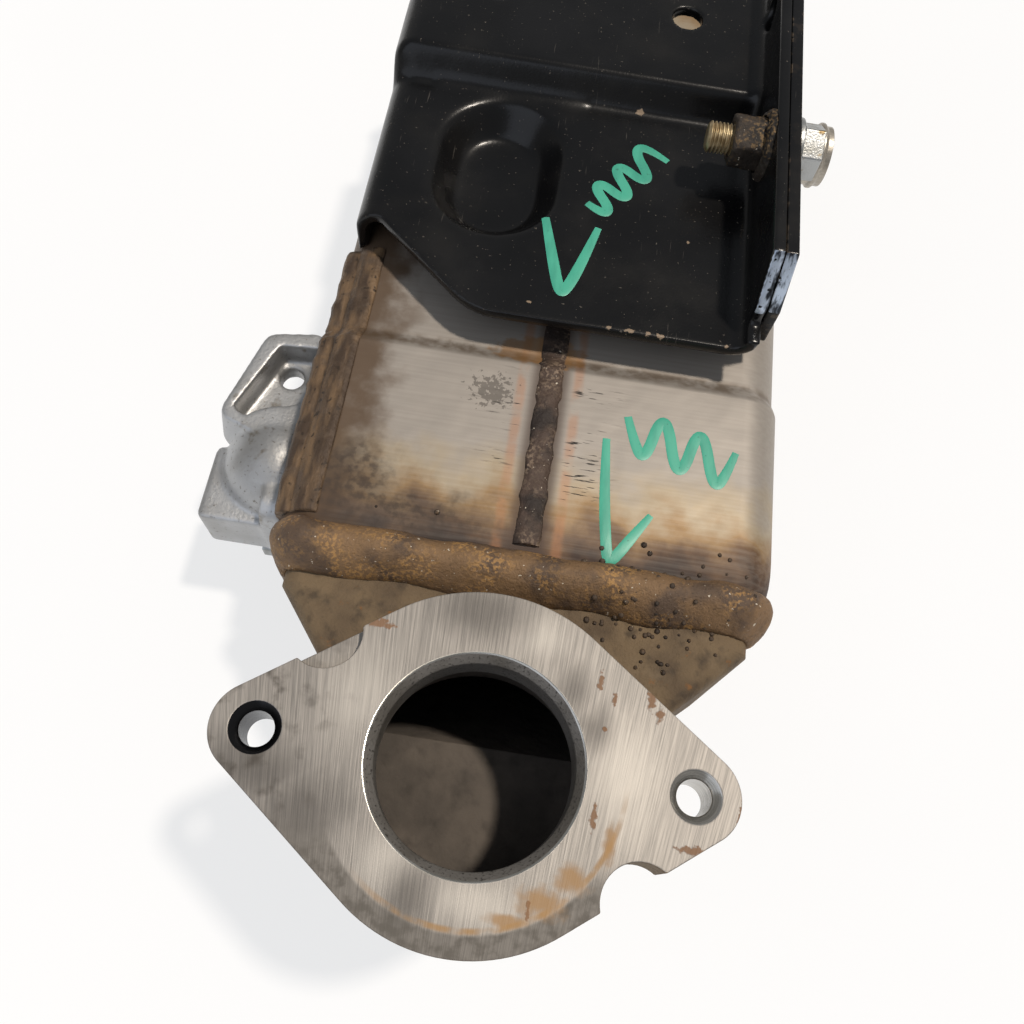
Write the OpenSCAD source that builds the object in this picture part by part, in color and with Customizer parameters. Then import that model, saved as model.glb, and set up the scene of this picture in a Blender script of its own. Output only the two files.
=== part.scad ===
// Exhaust gas recirculation cooler with a cast inlet elbow, a welded sheet shell,
// a flat-tube core, an aluminium coolant housing and a black support bracket.
// The origin is the middle of the inlet bore on the flange's sealing face.
// +Z leaves that face, +Y runs along the cooler and +X along the two bolt holes.

/* [Inlet flange] */
// Diameter of the gas inlet bore
bore_d = 48; // [40:1:52]
// Width of the chamfer round the mouth of the bore
bore_chamfer = 2.2; // [1:0.1:3]
// Depth of the plain bore before the elbow opens out
bore_depth = 11; // [9:0.5:14]
// Radius of the flange's round middle
flange_r = 42; // [40:0.5:46]
// Radius of the ear round each bolt hole
ear_r = 11; // [10:0.5:14]
// Distance between the two bolt holes
bolt_spacing = 105; // [100:1:114]
// Diameter of the two bolt holes
bolt_hole_d = 8.5; // [7:0.5:10]
// Diameter of the countersink on each bolt hole
countersink_d = 12.5; // [11:0.5:15]
// Thickness of the flange
flange_t = 13; // [10:0.5:16]
// Radius of the two scallops in the flange's edge
scallop_r = 9.2; // [7:0.1:10]
// Distance of each scallop from the bore's axis, along the bolt line
scallop_x = 41.5; // [39:0.5:43]
// Distance of each scallop's middle outside the flange's edge
scallop_out = 3; // [1:0.5:4]
// Depth of the shallow scallop
scallop_depth = 4; // [2:0.5:8]

/* [Inlet elbow] */
// Outer radius of the neck under the flange
neck_r = 35; // [33:0.5:38]
// Wall of the casting
cast_wall = 5; // [4:0.5:6]
// Height of the sealing face above the shell's raised end
flange_lift = 30; // [24:1:40]
// Depth of the neck's floor below the upper wall of the rim's opening
neck_floor = 8.5; // [6:0.5:16]
// Distance from the bore's axis to where the elbow's underside turns down to the rim
turn_y = 8; // [4:1:14]
// Distance from the bore's axis to the shell's near end
shell_start = 62; // [58:1:74]
// Length of the elbow's straight rim in front of the shell
rim_len = 14; // [12:1:18]
// How far a tank's rim reaches into the shell
rim_depth = 4; // [3:0.5:6]

/* [Shell] */
// Width of the shell over its raised end
shell_w = 154; // [140:1:170]
// Height of the shell over its raised end
shell_h = 96; // [84:1:110]
// Radius of the shell's four long corners
shell_r = 14; // [12:1:18]
// Thickness of the shell's sheet
shell_wall = 1.5; // [1:0.1:2]
// Sideways distance of the shell's middle from the bore's axis
shell_offset = 5; // [0:1:8]
// Length of the shell
shell_len = 268; // [250:1:320]
// Length of the shell's raised end
bulge_len = 75; // [70:1:80]
// Rise of the raised end above the plain shell, at the top and bottom
bulge_rise = 3; // [1:0.5:4]
// Rise of the raised end above the plain shell, at each side
bulge_side = 0.5; // [0.2:0.1:1.5]
// Length of the slope at the end of the raised part
bulge_slope = 7; // [4:0.5:10]
// How far the shell's near end closes in towards the elbow
end_inset = 5; // [3:0.5:7]
// Length over which the near end closes in
end_len = 16; // [12:1:20]

/* [Welds] */
// Height of the weld between elbow and shell above the shell's raised end
inlet_weld_h = 3; // [2:0.5:5]
// Share of that weld's height at the shell's left and right sides
inlet_weld_side = 0.45; // [0.3:0.05:1]
// Reach of that weld over the elbow's rim
inlet_weld_near = 10; // [8:0.5:11]
// Reach of that weld over the shell
inlet_weld_far = 4.5; // [3.5:0.5:5.5]
// Height of the weld at the far tank
outlet_weld_h = 2.5; // [1.5:0.5:4]
// Reach of the far weld to each side
outlet_weld_reach = 4; // [3:0.5:6]
// Width of the weld along the middle of the shell's top
seam_w = 8; // [5:0.5:12]
// Height of that weld on the raised end
seam_h = 1.5; // [0.8:0.1:2.5]
// Height of that weld under the bracket
seam_flat_h = 0.6; // [0.3:0.1:1.2]
// Height of the ridge along the shell's left corner
corner_weld_h = 2.4; // [1.5:0.1:3.5]

/* [Core] */
// Number of flat gas tubes
tube_count = 9; // [6:1:10]
// Outer height of a gas tube
tube_h = 6.4; // [5.5:0.1:7]
// Wall of a gas tube
tube_wall = 0.5; // [0.3:0.1:0.8]
// Space between the tubes and the shell's sides
tube_side_gap = 6; // [4:0.5:10]
// Space between the outer tubes and the shell's top and bottom
tube_end_gap = 2.5; // [2:0.5:5]
// Thickness of the two header plates
header_t = 2; // [1.5:0.5:3]
// Distance of the far header from the shell's far end
far_header_in = 10; // [8:1:16]
// How far a tube stands out of its header
tube_stand = 2; // [1:0.5:4]
// Pitch of the fins' folds
fin_pitch = 8; // [6:0.5:10]
// Thickness of a fin's sheet, measured upright
fin_t = 0.4; // [0.3:0.1:0.6]
// Distance from a tube's end to its fin
fin_in = 6; // [3:1:12]
// Number of support plates along the tubes
support_count = 2; // [1:1:3]
// Thickness of a support plate
support_t = 1.2; // [0.8:0.1:2]

/* [Coolant inlet] */
// Distance of the coolant port from the shell's near end
port_y = 39; // [36:1:44]
// Depth of the coolant port below the top of the raised end
port_drop = 54; // [50:1:60]
// Diameter of the coolant port
port_d = 22; // [16:1:24]
// Width of the welded pad along the shell
pad_w = 50; // [48:1:56]
// Height of the welded pad
pad_h = 48; // [46:1:54]
// Thickness of the welded pad
pad_t = 4; // [3:0.5:6]
// Thickness of the gasket
gasket_t = 1; // [0.5:0.1:1.5]
// Thickness of the housing's flange
housing_flange_t = 8; // [6:0.5:10]
// Radius of the housing's dome
dome_r = 21; // [19:0.5:23]
// Wall round the port inside the housing
port_wall = 4; // [3:0.5:5]
// Distance of the upright port from the gasket
port_reach = 13; // [12:0.5:15]
// Depth of the housing's lower face below the port
port_fall = 28; // [24:1:34]
// Thread diameter of the housing's bolts
housing_bolt_d = 6; // [5:0.5:8]
// Diameter of the hole in the housing's lug
lug_hole_d = 8.5; // [7:0.5:10]

/* [Far end] */
// Length of the far tank's taper
outlet_taper = 40; // [30:1:60]
// Outer diameter of the far neck
outlet_neck_d = 58; // [54:1:64]
// Wall of the far tank
outlet_wall = 3; // [2:0.5:4]
// Length of the far neck
outlet_neck_len = 12; // [8:1:20]
// Thickness of the far flange
outlet_flange_t = 10; // [8:1:14]
// Distance between the far flange's bolt holes
outlet_spacing = 92; // [88:1:104]
// Distance of the coolant outlet pipe from the shell's far end
pipe_in = 36; // [30:1:50]
// Outer diameter of the coolant outlet pipe
pipe_d = 25; // [18:1:30]
// Wall of the coolant outlet pipe
pipe_wall = 1.5; // [1:0.1:2.5]
// Length of the coolant outlet pipe
pipe_len = 32; // [24:1:50]

/* [Bracket] */
// Thickness of the bracket's sheet
bracket_t = 4; // [3:0.5:5]
// Inner radius of the bracket's bends
bend_r = 4.5; // [3:0.5:5]
// Distance from the shell's near end to the bracket's near edge
bracket_start = 78; // [76:1:90]
// Length of the bracket
bracket_len = 160; // [150:1:180]
// Distance of the bracket's left face from the shell's left side
bracket_left = 4; // [3:0.5:6]
// Width of the bracket between its left face and its upright
bracket_w = 131.5; // [125:0.5:138]
// Depth of the dimple that stands on the shell
dimple_depth = 11; // [8:0.5:14]
// Width of the dimple's flat bottom
dimple_w = 28; // [22:1:34]
// Length of the dimple's flat bottom
dimple_l = 44; // [36:1:54]
// Slope of the dimple's wall, measured flat
dimple_slope = 8; // [5:0.5:12]
// Distance of the dimple from the bracket's near edge
dimple_y = 61; // [56:1:64]
// Distance of the dimple from the bracket's left face
dimple_x = 44; // [40:1:60]
// Distance of the step in the bracket from its near edge
step_y = 94; // [92:1:100]
// Rise of the bracket's step
step_rise = 10; // [6:1:12]
// Length of the bracket's step
step_len = 8; // [6:1:12]
// Size of the corner cut, across the bracket
cut_x = 44; // [36:1:50]
// Size of the corner cut, along the bracket
cut_y = 31; // [24:1:36]
// Height of the upright above the bracket's base
upright_h = 28; // [26:1:36]
// Thickness of the outer plate on the upright
outer_plate_t = 4; // [3:0.5:6]
// Thread diameter of the clamp bolt
clamp_d = 10; // [8:1:12]
// Distance of the clamp bolt from the bracket's near edge
clamp_y = 71; // [68:1:76]
// Room between the bracket's bend and the weld round the clamp nut
clamp_room = 0.5; // [0.3:0.1:1.5]
// Thickness of the weld nut
nut_t = 12; // [9:0.5:14]
// How far the clamp bolt stands out of the nut
clamp_tip = 8; // [4:0.5:12]
// Diameter of the bracket's mounting holes
mount_hole_d = 11; // [9:0.5:13]
// Distance between the mounting holes in the bracket's raised part
mount_spacing = 70; // [60:1:80]
// Distance of the mounting holes from the bracket's far edge
mount_in = 25; // [20:1:30]

/* [Hidden] */
$fn = 64;

// Clearance between a weld and the sheet that it lies on
weld_seat = 0.05;
// Clearance of brazed and pushed-in pieces
fit = 0.1;
// Extra length of a cutting tool past the face it leaves
past = 1;
// Facets in each rounded long corner of the shell
corner_steps = 8;
// Plain length left between neighbouring welds, folds and plates of the shell
weld_room = 2;

bulge_top = -flange_lift;
shell_end = shell_start + shell_len;
shell_cz = bulge_top - shell_h / 2;
shell_left = shell_offset - shell_w / 2;
shell_right = shell_offset + shell_w / 2;
bulge_end = shell_start + bulge_len;
plain_top = bulge_top - bulge_rise;
plain_right = shell_right - bulge_side;

// Stations along the shell's rounded near end and along the slope of its raised end
end_shares = [0, 0.1, 0.2, 0.35, 0.55, 0.8, 1];
slope_shares = [0, 0.15, 0.3, 0.5, 0.7, 0.85, 1];
function s_curve(k) = k * k * (3 - 2 * k);
function end_depth(k) = end_inset * (1 - sqrt(1 - (1 - k) * (1 - k)));
end_table = concat([for (k = end_shares) [shell_start + k * end_len, end_depth(k)]], [[shell_end, 0]]);
slope_table = concat([[shell_start, 0]],
    [for (k = slope_shares) [bulge_end - bulge_slope + k * bulge_slope, s_curve(k)]], [[shell_end, 1]]);
shell_stations = concat([for (k = end_shares) shell_start + k * end_len],
    [for (k = slope_shares) bulge_end - bulge_slope + k * bulge_slope], [shell_end]);

// Depth of the shell's surface below the raised end, at the top and at the sides
function top_depth(y) = lookup(y, end_table) + bulge_rise * lookup(y, slope_table);
function side_depth(y) = lookup(y, end_table) + bulge_side * lookup(y, slope_table);
function corner_r(y) = shell_r - lookup(y, end_table);

// Closed loop of rows [x, z, nx, nz] round a rounded oblong, from the right corner at the top
corner_signs = [[1, 1], [-1, 1], [-1, -1], [1, -1]];
function corner_row(w, h, r, k, a) = [
    shell_offset + corner_signs[k][0] * (w / 2 - r) + r * cos(a),
    shell_cz + corner_signs[k][1] * (h / 2 - r) + r * sin(a), cos(a), sin(a)];
function mid_row(a, b, t) = [for (j = [0 : 3]) a[j] + t * (b[j] - a[j])];
function loop_rows(w, h, r, between) = [for (k = [0 : 3]) each concat(
    [for (i = [0 : corner_steps]) corner_row(w, h, r, k, 90 * k + 90 * i / corner_steps)],
    [for (i = [1 : 1 : between[k]]) mid_row(corner_row(w, h, r, k, 90 * k + 90),
        corner_row(w, h, r, (k + 1) % 4, 90 * k + 90), i / (between[k] + 1))])];

// Cells of an end cap: strips across a section whose points go out along one side and back along the other
function cap_cells(m) = [for (j = [0 : ceil(m / 2) - 2])
    j + 1 == m - 2 - j ? [j, j + 1, m - 1 - j] : [j, j + 1, m - 2 - j, m - 1 - j]];

// Solid through a list of rings of points, each clockwise as seen along the way from ring to ring,
// closed on itself or capped at its ends
module loft(rings, closed) {
    n = len(rings);
    m = len(rings[0]);
    sides = [for (i = [0 : n - (closed ? 1 : 2)]) for (j = [0 : m - 1])
        [i * m + j, ((i + 1) % n) * m + j, ((i + 1) % n) * m + (j + 1) % m, i * m + (j + 1) % m]];
    caps = closed ? [] : concat(cap_cells(m),
        [for (cell = cap_cells(m)) [for (k = [len(cell) - 1 : -1 : 0]) (n - 1) * m + cell[k]]]);
    polyhedron([for (ring = rings) each ring], concat(sides, caps), convexity = 8);
}

// Flat shape drawn in X and Z, extruded along Y
module along_y(start, length) {
    translate([0, start + length, 0]) rotate([90, 0, 0]) linear_extrude(length) children();
}

// Flat shape drawn in Y and Z, extruded along X
module along_x(start, length) {
    translate([start, 0, 0]) rotate([90, 0, 90]) linear_extrude(length) children();
}

// Cylinder along Y or X from a start point
module rod_y(x, y, z, d, length) translate([x, y, z]) rotate([-90, 0, 0]) cylinder(d = d, h = length);
module rod_x(x, y, z, d, length) translate([x, y, z]) rotate([0, 90, 0]) cylinder(d = d, h = length);

module rounded_oblong(w, h, r) {
    square([w - 2 * r, h], center = true);
    square([w, h - 2 * r], center = true);
    for (s = corner_signs) translate([s[0] * (w / 2 - r), s[1] * (h / 2 - r)]) circle(r = r);
}

module shell_oblong(inset_w, inset_h, r) {
    translate([shell_offset, shell_cz]) rounded_oblong(shell_w - 2 * inset_w, shell_h - 2 * inset_h, r);
}

// Round middle with two ears, joined by tangent lines
module ear_outline(middle_r, ear, spacing) {
    hull() {
        circle(r = middle_r, $fn = 128);
        for (side = [-1, 1]) translate([side * spacing / 2, 0]) circle(r = ear);
    }
}

// The elbow's rim and the weld that joins it to the shell
rim_inset = end_inset + shell_wall + fit;
rim_r = shell_r - rim_inset;
rim_start = shell_start - rim_len;
flange_lean = acos((flange_r - ear_r) / (bolt_spacing / 2));
scallop_y = (flange_r + scallop_out - scallop_x * cos(flange_lean)) / sin(flange_lean);
countersink_depth = (countersink_d - bolt_hole_d) / 2;
neck_depth = flange_lift + rim_inset + cast_wall + neck_floor;
// The underside's lean, and how far its inner skin turns down behind the outer one
under_lean = atan2(shell_h - 2 * rim_inset - cast_wall - neck_floor, rim_start - turn_y);
inner_turn = turn_y + cast_wall * tan(under_lean / 2);

// How far inside the neck's own skin the part that is drawn out to the rim begins
neck_tuck = 1;

// One skin of the elbow's body: the far part of the round neck, drawn out to the rim
module elbow_body(inset, neck, depth, turn, start, finish) {
    r = neck - neck_tuck;
    low = depth - neck_tuck;
    hull() {
        along_y(start, finish - start) shell_oblong(inset, inset, rim_r);
        intersection() {
            translate([0, 0, -low]) cylinder(r = r, h = low - flange_lift - inset, $fn = 56);
            translate([-r, turn, -low]) cube([2 * r, r, low]);
        }
    }
}

module inlet_elbow() color("dimgray") difference() {
    union() {
        translate([0, 0, -flange_t]) linear_extrude(flange_t)
            ear_outline(flange_r, ear_r, bolt_spacing);
        translate([0, 0, -neck_depth - cast_wall])
            cylinder(r = neck_r, h = neck_depth + cast_wall - flange_t / 2);
        elbow_body(rim_inset, neck_r, neck_depth + cast_wall, turn_y, rim_start, rim_start + past);
        along_y(rim_start, rim_len + rim_depth) shell_oblong(rim_inset, rim_inset, rim_r);
    }
    elbow_body(rim_inset + cast_wall, neck_r - cast_wall, neck_depth, inner_turn, rim_start, rim_start + past);
    along_y(rim_start, rim_len + rim_depth + past)
        shell_oblong(rim_inset + cast_wall, rim_inset + cast_wall, rim_r);
    translate([0, 0, -neck_depth]) cylinder(r = neck_r - cast_wall, h = neck_depth - bore_depth);
    translate([0, 0, -bore_depth - past]) cylinder(d = bore_d, h = bore_depth + 2 * past);
    translate([0, 0, -bore_chamfer])
        cylinder(d1 = bore_d, d2 = bore_d + 4 * bore_chamfer, h = 2 * bore_chamfer);
    for (side = [-1, 1]) translate([side * bolt_spacing / 2, 0, 0]) {
        translate([0, 0, -flange_t - past]) cylinder(d = bolt_hole_d, h = flange_t + 2 * past);
        translate([0, 0, -countersink_depth])
            cylinder(d1 = bolt_hole_d, d2 = 2 * countersink_d - bolt_hole_d, h = 2 * countersink_depth);
    }
    translate([-scallop_x, scallop_y, -scallop_depth]) cylinder(r = scallop_r, h = scallop_depth + past);
    translate([scallop_x, -scallop_y, -flange_t - past]) cylinder(r = scallop_r, h = flange_t + 2 * past);
}

// Slow uneven swell of a hand-laid weld, between about -1 and 1, along a loop of n stations
function swell(i, n, turns) = let (a = 360 * i / n)
    0.6 * sin(turns * a) + 0.4 * sin((2 * turns - 3) * a + 50);

// Section of the inlet weld as rows [y, height over the raised end]
weld_crown = [0, 0.12, 0.3, 0.5, 0.7, 0.88, 1];
function side_share(row) = inlet_weld_side + (1 - inlet_weld_side) * abs(row[3]);
function inlet_weld_row(near, far, h, share) = concat(
    [for (k = weld_crown) [shell_start - near + k * (near + far),
        (1 - k) * (weld_seat - rim_inset) + k * (weld_seat - lookup(shell_start + far, end_table))
        + share * (h + rim_inset * 0.55) * pow(sin(180 * k), 0.6)]],
    [for (k = [0.2, 0.1, 0]) [shell_start + k * end_len, weld_seat - end_depth(k)]],
    [[shell_start - weld_seat, weld_seat - end_inset], [shell_start - weld_seat, weld_seat - rim_inset]]);
function ring_at(row, section) = [for (p = section)
    [row[0] + row[2] * p[1], p[0], row[1] + row[3] * p[1]]];

module inlet_weld() color("saddlebrown") {
    rows = loop_rows(shell_w, shell_h, shell_r, [26, 9, 14, 9]);
    n = len(rows);
    loft([for (i = [0 : n - 1]) ring_at(rows[i], inlet_weld_row(
        inlet_weld_near + swell(i, n, 9), inlet_weld_far + 0.5 * swell(i, n, 13),
        inlet_weld_h + 0.5 * swell(i, n, 17), side_share(rows[i])))], true);
}

// Ring of the shell's surface at one station, sunk by the sheet for the inner face
function shell_ring(y, sink) = [for (p = loop_rows(shell_w - 2 * (side_depth(y) + sink),
    shell_h - 2 * (top_depth(y) + sink), corner_r(y) - sink, [0, 0, 0, 0])) [p[0], y, p[1]]];
port_x = shell_left - pad_t - gasket_t;
port_cy = shell_start + port_y;
port_cz = bulge_top - port_drop;
pipe_cy = shell_end - pipe_in;

module shell() color("silver") difference() {
    n = len(shell_stations);
    loft(concat([for (i = [n - 1 : -1 : 0]) shell_ring(shell_stations[i], 0)],
        [for (y = shell_stations) shell_ring(y, shell_wall)]), true);
    rod_x(shell_left - past, port_cy, port_cz, port_d, shell_wall + 2 * past);
    rod_x(plain_right - shell_wall - past, pipe_cy, shell_cz, pipe_d + 2 * fit, shell_wall + 2 * past);
}

// Stations of the long welds: close together where they show, and at every kink of the shell
seam_start = shell_start + inlet_weld_far + weld_room;
seam_end = shell_end - outlet_weld_reach - weld_room;
seam_pitch = 3;
slope_start = bulge_end - bulge_slope;
long_stations = concat([for (y = [seam_start : seam_pitch : shell_start + 0.5 * end_len]) y],
    [for (k = [0.55, 0.8, 1]) shell_start + k * end_len],
    [for (y = [shell_start + end_len + seam_pitch : seam_pitch : slope_start - seam_pitch / 2]) y],
    [for (k = slope_shares) slope_start + k * bulge_slope],
    [for (k = [0.05 : 0.05 : 0.97]) bulge_end + k * (seam_end - bulge_end)]);
seam_angles = [180, 155, 125, 90, 55, 25, 0];

module top_seam_weld() color("dimgray") {
    n = len(long_stations);
    loft([for (i = [0 : n - 1])
        let (y = long_stations[i], z = bulge_top - top_depth(y) + weld_seat,
            w = seam_w / 2 * (1 + 0.12 * swell(i, n, 11)),
            h = (seam_h + (seam_flat_h - seam_h) * lookup(y, slope_table)) * (1 + 0.2 * swell(i, n, 19)))
        [for (a = seam_angles) [shell_offset + w * cos(a), y, z + h * sin(a)]]], false);
}

// Section of the corner weld as rows [angle round the corner, share of the ridge's height]
corner_crown = [[90, 0.1], [95, 0.35], [104, 0.45], [116, 0.42], [124, 0.3], [129, 0.12],
    [136, 0.65], [144, 1], [152, 0.95], [161, 0.55], [168.75, 0.1]];
function corner_point(y, a, lift) = [
    shell_left + side_depth(y) + corner_r(y) + (corner_r(y) + lift) * cos(a), y,
    bulge_top - top_depth(y) - corner_r(y) + (corner_r(y) + lift) * sin(a)];

// The corner weld runs from the inlet weld to just short of the bracket's left edge
corner_weld_room = 1.5;
corner_far_steps = 10;

module corner_seam_weld() color("saddlebrown") {
    finish = bracket_y + cut_y - corner_weld_room;
    stations = concat([for (y = long_stations) if (y <= bulge_end) y],
        [for (k = [1 : corner_far_steps]) bulge_end + k * (finish - bulge_end) / corner_far_steps]);
    n = len(stations);
    loft([for (i = [n - 1 : -1 : 0]) concat(
        [for (p = corner_crown) corner_point(stations[i], p[0],
            weld_seat + corner_weld_h * p[1] * (1 + 0.15 * swell(i, n, 13)))],
        [for (k = [corner_steps - 1 : -1 : 0])
            corner_point(stations[i], 90 + 90 * k / corner_steps, weld_seat)])], false);
}

// Flat-tube core: the pitch follows from the room between the outer tubes
inner_w = shell_w - 2 * (bulge_side + shell_wall);
inner_h = shell_h - 2 * (bulge_rise + shell_wall);
tube_w = inner_w - 2 * tube_side_gap;
tube_pitch = (inner_h - 2 * tube_end_gap - tube_h) / (tube_count - 1);
front_header_y = shell_start + end_len + weld_room;
far_header_y = shell_end - far_header_in - header_t;
tube_start = front_header_y - tube_stand;
tube_len = far_header_y + header_t + tube_stand - tube_start;

module stadium(w, h) {
    square([w - h, h], center = true);
    for (side = [-1, 1]) translate([side * (w - h) / 2, 0]) circle(d = h, $fn = 24);
}

module at_tubes() {
    for (i = [0 : tube_count - 1])
        translate([shell_offset, shell_cz + (i - (tube_count - 1) / 2) * tube_pitch]) children();
}

module slotted_plate(start, thickness, inset_w, inset_h) {
    along_y(start, thickness) difference() {
        shell_oblong(inset_w + fit, inset_h + fit, shell_r - shell_wall - fit);
        at_tubes() stadium(tube_w + 2 * fit, tube_h + 2 * fit);
    }
}

module front_header() color("lightgray")
    slotted_plate(front_header_y, header_t, shell_wall, shell_wall);

module far_header() color("lightgray")
    slotted_plate(far_header_y, header_t, bulge_side + shell_wall, bulge_rise + shell_wall);

module gas_tubes() color("gainsboro") along_y(tube_start, tube_len) at_tubes() difference() {
    stadium(tube_w, tube_h);
    stadium(tube_w - 2 * tube_wall, tube_h - 2 * tube_wall);
}

// Folded fin strip inside each tube
fin_h = tube_h - 2 * tube_wall - 2 * fit;
fin_folds = floor((tube_w - tube_h) / fin_pitch);

module fin_strip() {
    ridge = [for (i = [0 : 2 * fin_folds]) [(i - fin_folds) * fin_pitch / 2,
        (i % 2 == 0 ? -1 : 1) * (fin_h - fin_t) / 2]];
    polygon(concat([for (p = ridge) [p[0], p[1] + fin_t / 2]],
        [for (i = [2 * fin_folds : -1 : 0]) [ridge[i][0], ridge[i][1] - fin_t / 2]]));
}

module tube_fins() color("lightsteelblue")
    along_y(tube_start + fin_in, tube_len - 2 * fin_in) at_tubes() fin_strip();

// Plates that hold the tubes apart, each open at one side so that coolant passes
support_open = 24;

module tube_supports() color("lightgray") for (i = [1 : support_count]) difference() {
    slotted_plate(bulge_end + i * (far_header_y - bulge_end) / (support_count + 1), support_t,
        bulge_side + shell_wall, bulge_rise + shell_wall);
    along_y(bulge_end, far_header_y - bulge_end)
        translate([i % 2 == 0 ? shell_left : shell_right - support_open, shell_cz - shell_h / 2])
        square([support_open, shell_h]);
}

// Coolant inlet: welded pad, gasket and bolted aluminium housing
pad_r = 8;
pad_fall = 2;
pad_cz = port_cz - pad_fall;
pad_bolt_in = 7;
housing_bolts_at = [[port_cy + pad_w / 2 - pad_bolt_in, pad_cz - pad_fall],
    [port_cy - pad_w / 2 + pad_bolt_in, pad_cz - pad_h / 2 + pad_bolt_in]];
elbow_x = port_x - port_reach;
boss_r = port_d / 2 + port_wall;
housing_base = port_cz - port_fall;

module pad_plate(start, thickness, hole_d, bolt_d) {
    difference() {
        along_x(start, thickness) translate([port_cy, pad_cz]) rounded_oblong(pad_w, pad_h, pad_r);
        rod_x(start - past, port_cy, port_cz, hole_d, thickness + 2 * past);
        for (p = housing_bolts_at) rod_x(start - past, p[0], p[1], bolt_d, thickness + 2 * past);
    }
}

module coolant_pad() color("silver")
    pad_plate(shell_left - pad_t, pad_t, port_d, housing_bolt_d + 2 * fit);

module coolant_gasket() color("black")
    pad_plate(port_x, gasket_t, port_d, housing_bolt_d + 2 * fit);

// Place of the dome's middle out of the gasket face and above the port
dome_out = 7;
dome_rise = 5;
dome_wall = 4;
// The lug's outline as circles [x out of the gasket face, y from the port, radius]
lug_circles = [[4, 42, 6], [16, 40, 6], [24, 13, 5], [4, 6, 5]];
lug_pocket = [[-past, 42], [15, 41], [25, 14], [21, 11], [-past, 21]];
lug_top = port_cz + 24;
lug_t = 17;
lug_pocket_depth = 10;
lug_draft = 3;
lug_hole_out = 11;
lug_hole_y = port_cy + 34;
block_out = 31;
block_y = [-24, 4];
block_top = port_cz + 11;
block_t = 22;
block_r = 2;
housing_reach = 3 * dome_r;

// Shares of a bolt's thread diameter: its washer, its hexagon and the spot face round it
washer_share = 2;
washer_t_share = 0.2;
hexagon_share = 1.85;
hexagon_t_share = 0.7;
spot_share = 2.2;

module lug_body() {
    hull() for (c = lug_circles) translate([port_x - c[0], port_cy + c[1], lug_top - lug_t])
        cylinder(r1 = c[2] + lug_draft, r2 = c[2], h = lug_t, $fn = 32);
}

module coolant_housing() color("lightgray") difference() {
    union() {
        pad_plate(port_x - housing_flange_t, housing_flange_t, port_d, housing_bolt_d + 2 * fit);
        translate([port_x - dome_out, port_cy, port_cz + dome_rise]) sphere(r = dome_r);
        translate([elbow_x, port_cy, port_cz]) sphere(r = boss_r);
        translate([elbow_x, port_cy, housing_base]) cylinder(r = boss_r, h = port_fall);
        lug_body();
        hull() for (x = [block_out - block_r, block_r], y = [block_y[0] + block_r, block_y[1] - block_r])
            translate([port_x - x, port_cy + y, block_top - block_t])
                cylinder(r = block_r, h = block_t, $fn = 24);
    }
    translate([0, 0, lug_top - lug_pocket_depth]) linear_extrude(lug_pocket_depth + past) difference() {
        polygon([for (p = lug_pocket) [port_x - p[0], port_cy + p[1]]]);
        translate([port_x - dome_out, port_cy]) circle(r = dome_r - dome_wall);
    }
    translate([port_x, port_cy - housing_reach, port_cz - housing_reach])
        cube([housing_reach, 2 * housing_reach, 2 * housing_reach]);
    for (p = housing_bolts_at) {
        rod_x(port_x - housing_flange_t - housing_reach, p[0], p[1], spot_share * housing_bolt_d,
            housing_reach);
        rod_x(port_x - housing_flange_t - past, p[0], p[1], housing_bolt_d + 2 * fit,
            housing_flange_t + 2 * past);
    }
    rod_x(elbow_x, port_cy, port_cz, port_d, port_reach + past);
    translate([elbow_x, port_cy, port_cz]) sphere(d = port_d);
    translate([elbow_x, port_cy, housing_base - past]) cylinder(d = port_d, h = port_fall + past);
    translate([port_x - lug_hole_out, lug_hole_y, lug_top - lug_t - past])
        cylinder(d = lug_hole_d, h = lug_t + 2 * past);
}

// Hexagon-head bolt along +X, with its bearing face at x
module bolt_x(x, y, z, d, length) {
    rod_x(x, y, z, d, length);
    rod_x(x - washer_t_share * d, y, z, washer_share * d, washer_t_share * d);
    translate([x - (washer_t_share + hexagon_t_share) * d, y, z]) rotate([0, 90, 0])
        cylinder(d = hexagon_share * d, h = hexagon_t_share * d, $fn = 6);
}

module housing_bolts() color("darkgray") for (p = housing_bolts_at)
    bolt_x(port_x - housing_flange_t, p[0], p[1], housing_bolt_d,
        housing_flange_t + gasket_t + pad_t - fit);

// Coolant outlet pipe with a hose bead, and its weld
pipe_bead = 1.2;

module outlet_pipe() color("silver")
    translate([plain_right - shell_wall, pipe_cy, shell_cz]) rotate([0, 90, 0]) rotate_extrude()
        translate([pipe_d / 2 - pipe_wall, 0]) {
            square([pipe_wall, pipe_len]);
            translate([pipe_wall - pipe_bead, pipe_len - 5 * pipe_bead])
                polygon([[0, 0], [pipe_bead, 0], [2 * pipe_bead, pipe_bead], [2 * pipe_bead, 2 * pipe_bead],
                    [pipe_bead, 3 * pipe_bead], [0, 3 * pipe_bead]]);
        }

pipe_weld = 4;

module outlet_pipe_weld() color("dimgray")
    translate([plain_right + weld_seat, pipe_cy, shell_cz]) rotate([0, 90, 0]) rotate_extrude()
        translate([pipe_d / 2 + weld_seat, 0])
        polygon([[0, 0], [pipe_weld, 0], [0.6 * pipe_weld, 0.6 * pipe_weld], [0, pipe_weld]]);

// Far tank: a taper from the shell's section to a round neck
outlet_inset_w = bulge_side + shell_wall + fit;
outlet_inset_h = bulge_rise + shell_wall + fit;
outlet_rim_r = shell_r - shell_wall + fit;
outlet_rim = outlet_weld_reach + weld_room;
taper_start = shell_end + outlet_rim;
neck_start = taper_start + outlet_taper;

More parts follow.
